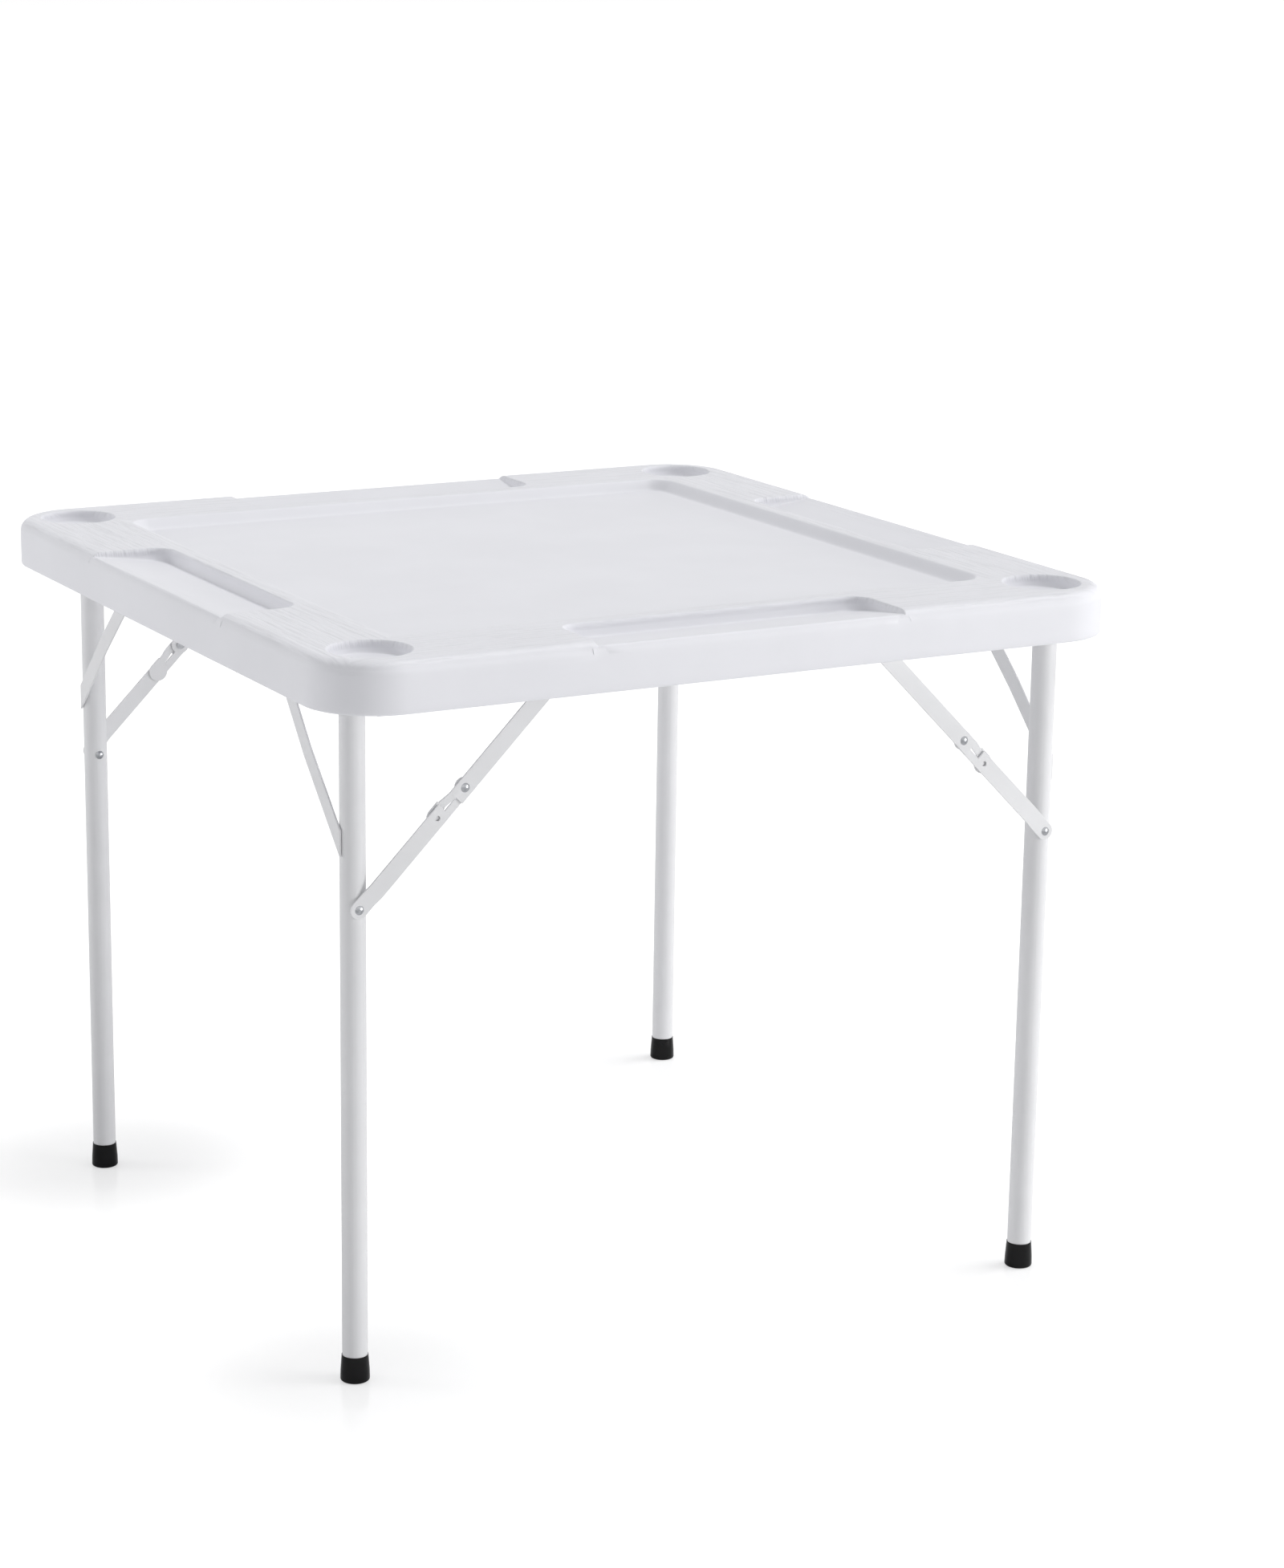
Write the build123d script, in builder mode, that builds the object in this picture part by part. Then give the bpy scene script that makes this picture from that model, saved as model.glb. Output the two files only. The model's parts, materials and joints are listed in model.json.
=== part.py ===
from build123d import *
import math
import os

# Folding card table: a square moulded top on two tube leg frames that fold
# flat under it, each leg held by a two-link locking strut.
# The frame stands on the floor at z = 0, centred on the top.
# X is the direction that the legs fold in, Y runs along the crossbars.
# Front is the side at -Y, back the side at +Y.
# The narrow frame folds between the legs of the wide frame.

# Driving sizes, in millimetres
top_side = 880.0
table_height = 737.0
leg_diameter = 25.0
crossbar_diameter = 17.5
tube_wall = 1.2
sheet_thickness = 2.0
overrun = 2.0
pick_tolerance = 0.05

# Tabletop, outside
corner_radius = 72.0
skirt_height = 50.0
rim_thickness = 24.0
rim_rounding = 12.0
skirt_foot_rounding = 3.0
lip_width = 18.5

# Tabletop, sunken playing field
field_side = 670.0
field_depth = 12.0
field_wall_run = 9.0
field_corner_radius = 16.0
field_lip_rounding = 3.0
field_thickness = 16.0
field_underside = 648.0
field_underside_corner = 12.0

# Tabletop, cup recesses in the four corners
cup_diameter = 80.0
cup_inset = 64.5
cup_depth = 12.0
cup_floor_rounding = 5.0
cup_lip_rounding = 4.0

# Tabletop, one tray in the middle of each side
tray_length = 344.0
tray_width = 86.0
tray_depth_inner = 15.0
tray_depth_outer = 3.5
tray_corner_radius = 22.0
tray_floor_rounding = 5.0

# Tabletop, pockets moulded up from below
pocket_rows = 17
pocket_edge = 2.5
pocket_length = 27.0
pocket_width = 8.0
pocket_depth = 9.0
border_pocket_depth = 12.0
wall_pocket_offset = 12.0
corner_pocket_offset = 22.0
outer_pocket_inset = 10.5
cross_pocket_inset = 28.5
border_pocket_start = 18.0
border_pocket_pitch = 37.0
tray_pocket_length = 15.0
tray_pocket_width = 5.0
tray_pocket_depth = 5.0
tray_pocket_pitch = 52.0
tray_pocket_rows = 7
tray_pocket_inset = 31.5
tray_cross_inset = 23.5
lip_notch_pitch = 45.5
lip_notch_length = 26.0
lip_notch_depth = 8.0
lip_notch_wall = 5.0
vent_diameter = 3.0
vent_depth = 14.0
vent_offset = 118.0
field_vent_diameter = 2.4
field_vent_depth = 14.0
field_vent_x = 262.0

# Side rails and centre stiffener
rail_width = 14.0
rail_height = 29.5
rail_length = 778.0
rail_gap = 0.5
rail_screw_inset = 36.0
access_hole_diameter = 11.0
stiffener_width = 24.0
stiffener_height = 12.0
stiffener_end_gap = 1.5
stiffener_screw_inset = 15.5
stiffener_pad_side = 30.0

# Leg frames
pivot_inset = 64.0
pivot_drop = 16.0
leg_top_overrun = 9.4
weld_gap = 0.05
brace_reach = 150.0
brace_width = 19.0
brace_flat = 100.0
brace_leg_overhang = 3.0
brace_bar_overhang = 5.5
brace_gap = 0.4

# Feet
foot_diameter = 29.0
foot_height = 27.0
foot_floor = 4.0
foot_taper = 0.6
foot_chamfer = 1.5

# Pivot bushes
bush_clearance = 0.05
bush_wall = 0.75
bush_flange_diameter = 24.0
bush_flange = 1.0
bar_end_gap = 1.0

# Struts: planes stacked outwards from the leg's outer side
strut_reach = 216.5
link_width = 18.0
leg_link_gap = 0.5
link_gap = 0.4
carrier_gap = 2.2
running_clearance = 0.05
face_clearance = 0.1

# Struts: lock joint in the middle
lock_shoulder = 13.0
tongue_slope_start = 14.0
tongue_slope_run = 13.0
tongue_slit = 0.6
tongue_end_radius = 10.5
nib_reach = 39.0
nib_diameter = 4.4
nib_height = 0.25
nib_hole_diameter = 5.0
neck_end = 29.0
lower_head_radius = 10.0

# Struts: joggle of the lower link down to the leg
joggle_start = 24.0
joggle_run = 12.0

# Rivets and screws
rivet_head_diameter = 9.2
rivet_head_height = 1.6
pivot_rivet_diameter = 6.0
lock_rivet_diameter = 5.0
lock_inner_head = 1.3
anchor_head_diameter = 10.0
anchor_inner_head = 0.7
anchor_peen = 1.3
leg_rivet_proud = 0.15
screw_diameter = 4.0
screw_head_diameter = 7.5
screw_head_height = 2.0
screw_bite = 11.0
short_screw_bite = 7.0
stiffener_screw_bite = 9.0
screw_tip_room = 1.0
screw_clearance = 0.1
cross_slot_length = 4.4
cross_slot_width = 1.0
cross_slot_depth = 1.0

# Brackets that carry the narrow frame's struts
bracket_length = 60.0
bracket_flange = 12.5
bracket_clearance = 1.0
bracket_ear_drop = 31.0
bracket_bend_radius = 1.5
bracket_ear_corner = 8.0
bracket_screw_spacing = 40.0

# Clip that holds one folded leg
clip_reach = 590.0
clip_length = 24.0
clip_jaw = 2.2
clip_jaw_drop = 24.0
clip_clearance = 0.3
clip_base = 2.0
clip_mouth_chamfer = 1.0
clip_corner = 2.0
clip_screw_spacing = 13.0
clip_screw_sink = 1.0

# Levels
top_z = table_height
skirt_z = top_z - skirt_height
border_under_z = top_z - rim_thickness
field_z = top_z - field_depth
field_under_z = field_z - field_thickness
pivot_z = border_under_z - pivot_drop

# Radii
leg_radius = leg_diameter / 2
bar_radius = crossbar_diameter / 2
foot_radius = foot_diameter / 2
cup_radius = cup_diameter / 2
head_radius = rivet_head_diameter / 2
pivot_rivet_radius = pivot_rivet_diameter / 2
lock_rivet_radius = lock_rivet_diameter / 2
screw_radius = screw_diameter / 2
screw_hole_radius = screw_radius + screw_clearance
pivot_hole_radius = pivot_rivet_radius + running_clearance
lock_hole_radius = lock_rivet_radius + running_clearance
bush_bore_radius = bar_radius + bush_clearance
bush_radius = bush_bore_radius + bush_wall

# Strut planes, as depths outwards from the leg's outer side
tongue_depth = leg_link_gap
lower_depth = tongue_depth + sheet_thickness + link_gap
upper_depth = lower_depth + sheet_thickness + link_gap
carrier_depth = upper_depth + sheet_thickness + carrier_gap

# Places across the table, from the outside inwards
half_top = top_side / 2
lip_inner_y = half_top - lip_width
rail_outer_y = lip_inner_y - rail_gap
rail_inner_y = rail_outer_y - rail_width
rail_y = (rail_outer_y + rail_inner_y) / 2
wide_leg_y = rail_inner_y - carrier_depth - leg_radius
flange_edge_y = wide_leg_y - leg_radius - bracket_clearance
ear_y = flange_edge_y - bracket_flange
narrow_leg_y = ear_y - carrier_depth - leg_radius

bracket_screw_y = (ear_y + sheet_thickness + bracket_bend_radius + flange_edge_y) / 2

# Places along the table
pivot_x = half_top - pivot_inset
anchor_x = pivot_x - strut_reach
rail_screw_x = rail_length / 2 - rail_screw_inset
stiffener_half = pivot_x - bar_radius - stiffener_end_gap
stiffener_screw_x = stiffener_half - stiffener_screw_inset
link_length = strut_reach / math.sqrt(2)
bar_half_length = rail_outer_y - tube_wall - bar_end_gap
cup_place = half_top - cup_inset
clip_x = pivot_x - clip_reach
pocket_pitch = (field_underside - pocket_length - pocket_edge * 2) / (pocket_rows - 1)

frames = (("narrow", -1, narrow_leg_y), ("wide", 1, wide_leg_y))
sides = (("front", -1), ("back", 1))


def save(piece, name):
    """Label one finished piece and write it out."""
    piece.label = name
    export_step(piece, f"parts/{name}.step")


def strut_plane(x_sign, y_sign, leg_y, depth):
    """The plane of one strut link: it starts at the lock joint and has its X up the strut to the top."""
    outward = leg_y + leg_radius + depth
    middle = pivot_x - strut_reach / 2
    return Plane(
        origin=(x_sign * middle, y_sign * outward, pivot_z - strut_reach / 2),
        x_dir=(-x_sign, 0, 1),
        z_dir=(0, y_sign, 0),
    )


def strut_edge_plane(x_sign, y_sign, leg_y, across):
    """A plane along the strut and square to its links, this far across: its Y is the depth outwards."""
    face = strut_plane(x_sign, y_sign, leg_y, 0)
    return Plane(origin=face.origin + face.y_dir * across, x_dir=face.x_dir, z_dir=face.y_dir * -1)


def rivet_plane(x, z, y_sign, leg_y):
    """A plane through a rivet's axis: X is the radius, Y the depth outwards from the leg's outer side."""
    return Plane(origin=(x, y_sign * (leg_y + leg_radius), z), x_dir=(1, 0, 0), z_dir=(0, 0, y_sign))


def turned_rivet(plane, steps, dome=None):
    """One turned rivet from its steps (radius, start, end) along the axis and a domed head (start, side)."""
    with BuildPart() as rivet:
        with BuildSketch(plane):
            for radius, start, end in steps:
                with Locations((0, start)):
                    Rectangle(radius, end - start, align=(Align.MIN, Align.MIN))
            if dome:
                start, side = dome
                crown = start + side * rivet_head_height
                with BuildLine():
                    Line((0, start), (head_radius, start))
                    ThreePointArc((head_radius, start), dome_middle(start, side), (0, crown))
                    Line((0, crown), (0, start))
                make_face()
        revolve(axis=Axis(plane.origin, plane.y_dir))
    return rivet.part


def dome_middle(start, side):
    """The point halfway round a domed head's arc, which stands square to the axis at the crown."""
    sphere = (head_radius**2 + rivet_head_height**2) / (2 * rivet_head_height)
    half_angle = math.asin(head_radius / sphere) / 2
    middle_radius = sphere * math.sin(half_angle)
    return (middle_radius, start + side * (sphere * math.cos(half_angle) - sphere + rivet_head_height))


def pan_screws(places, seat_z, length):
    """Screws driven upwards at these places: a pan head under seat_z and a shank of this length above it."""
    with BuildPart() as screws:
        with Locations(*[(x, y, seat_z) for x, y in places]):
            Cylinder(screw_radius, length, align=(Align.CENTER, Align.CENTER, Align.MIN))
            Cylinder(
                screw_head_diameter / 2, screw_head_height, align=(Align.CENTER, Align.CENTER, Align.MAX)
            )
        crowns = screws.faces().filter_by(Axis.Z).group_by(Axis.Z)[0]
        fillet(crowns.edges(), screw_head_height / 2)
        with BuildSketch(Plane.XY.offset(seat_z - screw_head_height)):
            with Locations(*places):
                Rectangle(cross_slot_length, cross_slot_width)
                Rectangle(cross_slot_width, cross_slot_length)
        extrude(amount=cross_slot_depth, mode=Mode.SUBTRACT)
    return screws.part


os.makedirs("parts", exist_ok=True)

# Cutter for one tray: a rounded plan with a floor that rises towards the table's edge
tray_floor_rise = tray_depth_inner - tray_depth_outer
with BuildPart() as tray_cutter:
    with BuildSketch(Plane.XY.offset(border_under_z)):
        with Locations((half_top - tray_width, 0)):
            RectangleRounded(
                (tray_width + overrun) * 2, tray_length, tray_corner_radius, align=(Align.MIN, Align.CENTER)
            )
    extrude(amount=rim_thickness + overrun)
    split(
        bisect_by=Plane(
            origin=(half_top, 0, top_z - tray_depth_outer), z_dir=(-tray_floor_rise, 0, tray_width)
        ),
        keep=Keep.TOP,
    )
    fillet(tray_cutter.faces().sort_by(Axis.Z)[0].edges().sort_by(Axis.X)[:3], tray_floor_rounding)

# Tabletop: a moulded slab with a deep skirt, a sunken field, four trays and four cup recesses
with BuildPart() as tabletop:
    with BuildSketch(Plane.XY.offset(skirt_z)):
        RectangleRounded(top_side, top_side, corner_radius)
    extrude(amount=skirt_height)
    fillet(tabletop.faces().sort_by(Axis.Z)[-1].edges(), rim_rounding)
    fillet(tabletop.faces().sort_by(Axis.Z)[0].edges(), skirt_foot_rounding)

    # Room under the top, and the sunken field's own thickness standing down into it
    # The rails' ends run on into slots in the wider corners of the skirt
    with BuildSketch(Plane.XY.offset(skirt_z)):
        RectangleRounded(lip_inner_y * 2, lip_inner_y * 2, corner_radius - lip_width)
        Rectangle(rail_length + rail_gap * 2, lip_inner_y * 2)
    extrude(amount=border_under_z - skirt_z, mode=Mode.SUBTRACT)
    with BuildSketch(Plane.XY.offset(field_under_z)):
        RectangleRounded(field_underside, field_underside, field_underside_corner)
        with Locations((stiffener_screw_x, 0), (-stiffener_screw_x, 0)):
            Rectangle(stiffener_pad_side, stiffener_pad_side)
    extrude(amount=border_under_z - field_under_z + overrun)

    # Sunken playing field with sloping walls
    with BuildSketch(Plane.XY.offset(field_z)):
        RectangleRounded(
            field_side - field_wall_run * 2, field_side - field_wall_run * 2, field_corner_radius
        )
    with BuildSketch(Plane.XY.offset(top_z)):
        RectangleRounded(field_side, field_side, field_corner_radius + field_wall_run)
    loft(ruled=True, mode=Mode.SUBTRACT)
    fillet(tabletop.faces().sort_by(Axis.Z)[-1].inner_wires()[0].edges(), field_lip_rounding)

    # Cup recesses
    with BuildSketch(Plane.XY.offset(top_z - cup_depth)):
        with GridLocations(cup_place * 2, cup_place * 2, 2, 2):
            Circle(cup_radius)
    extrude(amount=cup_depth + overrun, mode=Mode.SUBTRACT)
    for level, rounding in ((top_z, cup_lip_rounding), (top_z - cup_depth, cup_floor_rounding)):
        circles = tabletop.edges().filter_by(
            lambda edge: edge.geom_type == GeomType.CIRCLE and abs(edge.radius - cup_radius) < pick_tolerance
        )
        fillet(circles.filter_by_position(Axis.Z, level - pick_tolerance, level + pick_tolerance), rounding)

    # One tray in the middle of each side
    with PolarLocations(0, 4):
        add(tray_cutter.part, mode=Mode.SUBTRACT)

    # Pockets in a basket pattern under the field, where the two skins of the moulding meet
    middle_row = (pocket_rows - 1) / 2
    grid = [(i, j) for i in range(pocket_rows) for j in range(pocket_rows)]
    spots = [((i - middle_row) * pocket_pitch, (j - middle_row) * pocket_pitch) for i, j in grid]
    with BuildSketch(Plane.XY.offset(field_under_z)):
        with Locations(*spots[0::2]):
            SlotOverall(pocket_length, pocket_width)
        with Locations(*spots[1::2]):
            SlotOverall(pocket_length, pocket_width, rotation=90)
    extrude(amount=pocket_depth, mode=Mode.SUBTRACT)

    # Pockets under the border: a row along the field's wall and a zigzag beside each tray
    wall_x = field_underside / 2 + wall_pocket_offset
    corner_x = field_underside / 2 + corner_pocket_offset
    outer_x = lip_inner_y - outer_pocket_inset
    cross_x = lip_inner_y - cross_pocket_inset
    zigzag_y = tray_length / 2 + border_pocket_start
    zigzag = [zigzag_y + border_pocket_pitch * n for n in range(4)]
    along_spots = [(wall_x, pocket_pitch * n) for n in (-3, -1, 1, 3)]
    along_spots += [(corner_x, pocket_pitch * n) for n in (-7, -5, 5, 7)]
    along_spots += [(outer_x, y * sign) for y in zigzag[1::2] for sign in (-1, 1)]
    cross_spots = [(cross_x, y * sign) for y in zigzag[0::2] for sign in (-1, 1)]
    with BuildSketch(Plane.XY.offset(border_under_z)):
        with PolarLocations(0, 4):
            with Locations(*along_spots):
                SlotOverall(pocket_length, pocket_width, rotation=90)
            with Locations(*cross_spots):
                SlotOverall(pocket_length, pocket_width)
    extrude(amount=border_pocket_depth, mode=Mode.SUBTRACT)

    # Small pockets under the trays
    tray_row_x = (outer_x + lip_inner_y - tray_pocket_inset) / 2
    tray_row_pitch = tray_pocket_inset - outer_pocket_inset
    with BuildSketch(Plane.XY.offset(border_under_z)):
        with PolarLocations(0, 4):
            with Locations((tray_row_x, 0)):
                with GridLocations(tray_row_pitch, tray_pocket_pitch, 2, tray_pocket_rows):
                    SlotOverall(tray_pocket_length, tray_pocket_width, rotation=90)
            with Locations((lip_inner_y - tray_cross_inset, 0)):
                with GridLocations(0, tray_pocket_pitch, 1, tray_pocket_rows - 1):
                    SlotOverall(tray_pocket_length, tray_pocket_width)
    extrude(amount=tray_pocket_depth, mode=Mode.SUBTRACT)

    # Notches along the inside of the skirt's foot
    notch_rows = int((top_side - corner_radius * 2) // lip_notch_pitch)
    with BuildSketch(Plane.XY.offset(skirt_z)):
        with PolarLocations(0, 4):
            with Locations((half_top - lip_notch_wall, 0)):
                with GridLocations(0, lip_notch_pitch, 1, notch_rows):
                    Rectangle(lip_width, lip_notch_length, align=(Align.MAX, Align.CENTER))
    extrude(amount=lip_notch_depth, mode=Mode.SUBTRACT)

    # Air vents: one in the foot of the front and back skirts and one in the field's back wall
    vent_y = half_top - lip_width / 2
    with BuildSketch(Plane.XY.offset(skirt_z)):
        with Locations((-vent_offset, -vent_y), (vent_offset, vent_y)):
            Circle(vent_diameter / 2)
    extrude(amount=vent_depth, mode=Mode.SUBTRACT)
    field_wall_y = field_side / 2 - field_wall_run
    with BuildSketch(Plane(origin=(-field_vent_x, field_wall_y, top_z - field_depth / 2), z_dir=(0, 1, 0))):
        Circle(field_vent_diameter / 2)
    extrude(amount=field_vent_depth, mode=Mode.SUBTRACT)

    # Blind screw holes
    rail_screw_places = [(x, y) for x in (-rail_screw_x, rail_screw_x) for y in (-rail_y, rail_y)]
    bracket_screw_places = [
        (-anchor_x + x, y)
        for x in (-bracket_screw_spacing / 2, bracket_screw_spacing / 2)
        for y in (-bracket_screw_y, bracket_screw_y)
    ]
    clip_screw_places = [(clip_x + x, -wide_leg_y) for x in (-clip_screw_spacing / 2, clip_screw_spacing / 2)]
    stiffener_screw_places = [(-stiffener_screw_x, 0), (stiffener_screw_x, 0)]
    with BuildSketch(Plane.XY.offset(border_under_z)):
        with Locations(*rail_screw_places, *clip_screw_places):
            Circle(screw_hole_radius)
    extrude(amount=screw_bite + screw_tip_room, mode=Mode.SUBTRACT)
    with BuildSketch(Plane.XY.offset(border_under_z)):
        with Locations(*bracket_screw_places):
            Circle(screw_hole_radius)
    extrude(amount=short_screw_bite + screw_tip_room, mode=Mode.SUBTRACT)
    with BuildSketch(Plane.XY.offset(field_under_z)):
        with Locations(*stiffener_screw_places):
            Circle(screw_hole_radius)
    extrude(amount=stiffener_screw_bite + screw_tip_room, mode=Mode.SUBTRACT)
save(tabletop.part, "tabletop")

# Side rails: box tubes screwed up under the top, with bush holes in the inner wall
rail_foot_z = border_under_z - rail_height
for side, y_sign in sides:
    with BuildPart() as rail:
        with BuildSketch(Plane.XY.offset(rail_foot_z)):
            with Locations((0, y_sign * rail_y)):
                Rectangle(rail_length, rail_width)
        extrude(amount=rail_height)
        with BuildSketch(Plane.XY.offset(rail_foot_z + tube_wall)):
            with Locations((0, y_sign * rail_y)):
                Rectangle(rail_length + overrun, rail_width - tube_wall * 2)
        extrude(amount=rail_height - tube_wall * 2, mode=Mode.SUBTRACT)
        inner_wall = Plane(
            origin=(0, y_sign * (rail_inner_y - overrun), 0), x_dir=(y_sign * -1, 0, 0), z_dir=(0, y_sign, 0)
        )
        with BuildSketch(inner_wall):
            with Locations((pivot_x, pivot_z), (-pivot_x, pivot_z)):
                Circle(bush_radius + bush_clearance)
            with Locations((anchor_x * y_sign * -1, pivot_z)):
                Circle(pivot_hole_radius)
        extrude(amount=tube_wall + overrun * 2, mode=Mode.SUBTRACT)
        with BuildSketch(Plane.XY.offset(border_under_z - tube_wall - overrun)):
            with Locations((rail_screw_x, y_sign * rail_y), (-rail_screw_x, y_sign * rail_y)):
                Circle(screw_hole_radius)
        extrude(amount=tube_wall + overrun * 2, mode=Mode.SUBTRACT)
        with BuildSketch(Plane.XY.offset(rail_foot_z - overrun)):
            with Locations((rail_screw_x, y_sign * rail_y), (-rail_screw_x, y_sign * rail_y)):
                Circle(access_hole_diameter / 2)
        extrude(amount=tube_wall + overrun * 2, mode=Mode.SUBTRACT)
    save(rail.part, f"rail_{side}")

# Centre stiffener: a flat box tube under the middle of the field
stiffener_foot_z = field_under_z - stiffener_height
with BuildPart() as centre_stiffener:
    with BuildSketch(Plane.XY.offset(stiffener_foot_z)):
        Rectangle(stiffener_half * 2, stiffener_width)
    extrude(amount=stiffener_height)
    with BuildSketch(Plane.XY.offset(stiffener_foot_z + tube_wall)):
        Rectangle((stiffener_half + overrun) * 2, stiffener_width - tube_wall * 2)
    extrude(amount=stiffener_height - tube_wall * 2, mode=Mode.SUBTRACT)
    with BuildSketch(Plane.XY.offset(stiffener_foot_z - overrun)):
        with Locations(*stiffener_screw_places):
            Circle(screw_hole_radius)
    extrude(amount=stiffener_height + overrun * 2, mode=Mode.SUBTRACT)
save(centre_stiffener.part, "centre_stiffener")

# Angle brackets: each has a flange under the top and an ear that carries one strut of the narrow frame
for side, y_sign in sides:
    with BuildPart() as bracket:
        start_x = -anchor_x - bracket_length / 2
        with BuildSketch(Plane(origin=(start_x, 0, 0), x_dir=(0, 1, 0), z_dir=(1, 0, 0))):
            with Locations((y_sign * ear_y, border_under_z)):
                near_side = Align.MIN if y_sign > 0 else Align.MAX
                Rectangle(sheet_thickness, bracket_ear_drop, align=(near_side, Align.MAX))
                Rectangle(bracket_flange, sheet_thickness, align=(near_side, Align.MAX))
        extrude(amount=bracket_length)
        long_edges = bracket.edges().filter_by(Axis.X)
        outer_bend = long_edges.sort_by_distance((-anchor_x, y_sign * ear_y, border_under_z))[0]
        fillet(outer_bend, bracket_bend_radius + sheet_thickness)
        inner_bend = bracket.edges().filter_by(Axis.X).sort_by_distance(
            (-anchor_x, y_sign * (ear_y + sheet_thickness), border_under_z - sheet_thickness)
        )[0]
        fillet(inner_bend, bracket_bend_radius)
        fillet(bracket.edges().filter_by(Axis.Y).group_by(Axis.Z)[0], bracket_ear_corner)
        ear_hole = Plane(origin=(-anchor_x, y_sign * (ear_y - overrun), pivot_z), z_dir=(0, y_sign, 0))
        with BuildSketch(ear_hole):
            Circle(pivot_hole_radius)
        extrude(amount=sheet_thickness + overrun * 2, mode=Mode.SUBTRACT)
        with BuildSketch(Plane.XY.offset(border_under_z - sheet_thickness - overrun)):
            with Locations((-anchor_x, y_sign * bracket_screw_y)):
                with GridLocations(bracket_screw_spacing, 0, 2, 1):
                    Circle(screw_hole_radius)
        extrude(amount=sheet_thickness + overrun * 2, mode=Mode.SUBTRACT)
    save(bracket.part, f"strut_bracket_{side}")

# Clip that holds the front leg of the wide frame when it is folded
with BuildPart() as leg_clip:
    jaw_inner = leg_radius + clip_clearance
    with BuildSketch(Plane.XY.offset(border_under_z - clip_jaw_drop)):
        with Locations((clip_x, -wide_leg_y)):
            Rectangle(clip_length, (jaw_inner + clip_jaw) * 2)
    extrude(amount=clip_jaw_drop)
    with BuildSketch(Plane.XY.offset(border_under_z - clip_jaw_drop)):
        with Locations((clip_x, -wide_leg_y)):
            Rectangle(clip_length + overrun, jaw_inner * 2)
    extrude(amount=clip_jaw_drop - clip_base, mode=Mode.SUBTRACT)
    mouth = leg_clip.edges().filter_by(Axis.X).group_by(Axis.Z)[0].sort_by(Axis.Y)
    chamfer(mouth[1:3], clip_mouth_chamfer)
    fillet(leg_clip.edges().filter_by(Axis.Y).group_by(Axis.Z)[0], clip_corner)
    with BuildSketch(Plane.XY.offset(border_under_z - clip_base)):
        with Locations(*clip_screw_places):
            Circle(screw_hole_radius)
    extrude(amount=clip_base, mode=Mode.SUBTRACT)
    with BuildSketch(Plane.XY.offset(border_under_z - clip_base)):
        with Locations(*clip_screw_places):
            Circle(screw_head_diameter / 2 + screw_clearance)
    extrude(amount=clip_screw_sink, mode=Mode.SUBTRACT)
save(leg_clip.part, "leg_clip")

# Screws, all driven upwards
save(
    pan_screws(rail_screw_places, border_under_z - tube_wall, tube_wall + screw_bite),
    "rail_screws",
)
save(
    pan_screws(bracket_screw_places, border_under_z - sheet_thickness, sheet_thickness + short_screw_bite),
    "bracket_screws",
)
clip_seat = clip_base - clip_screw_sink
save(
    pan_screws(clip_screw_places, border_under_z - clip_seat, clip_seat + screw_bite),
    "clip_screws",
)
save(
    pan_screws(stiffener_screw_places, stiffener_foot_z, stiffener_height + stiffener_screw_bite),
    "stiffener_screws",
)

# Flanged bushes that the crossbars turn in
with BuildPart() as pivot_bushes:
    for x_sign in (-1, 1):
        for y_sign in (-1, 1):
            face_y = rail_inner_y - bush_flange
            bush_face = Plane(origin=(x_sign * pivot_x, y_sign * face_y, pivot_z), z_dir=(0, y_sign, 0))
            with BuildSketch(bush_face):
                Circle(bush_flange_diameter / 2)
            extrude(amount=bush_flange)
            with BuildSketch(bush_face):
                Circle(bush_radius)
            extrude(amount=bar_half_length - face_y)
            with BuildSketch(bush_face):
                Circle(bush_bore_radius)
            extrude(amount=bar_half_length - face_y, mode=Mode.SUBTRACT)
save(pivot_bushes.part, "pivot_bushes")

# Anchor rivets: a stepped pin through the rail or the bracket's ear, on which the upper link turns
anchors = []
anchor_radius = anchor_head_diameter / 2
link_inner = upper_depth - face_clearance
link_outer = upper_depth + sheet_thickness + face_clearance
for frame_name, x_sign, leg_y in frames:
    carrier_wall = tube_wall if frame_name == "wide" else sheet_thickness
    carrier_back = carrier_depth + carrier_wall
    for y_sign in (-1, 1):
        anchor_steps = (
            (anchor_radius, link_inner - anchor_inner_head, link_inner),
            (pivot_rivet_radius, link_inner, carrier_back),
            (anchor_radius, link_outer, carrier_depth),
            (anchor_radius, carrier_back, carrier_back + anchor_peen),
        )
        anchors.append(turned_rivet(rivet_plane(x_sign * anchor_x, pivot_z, y_sign, leg_y), anchor_steps))
with BuildPart() as anchor_rivets:
    add(anchors)
save(anchor_rivets.part, "anchor_rivets")

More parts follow.
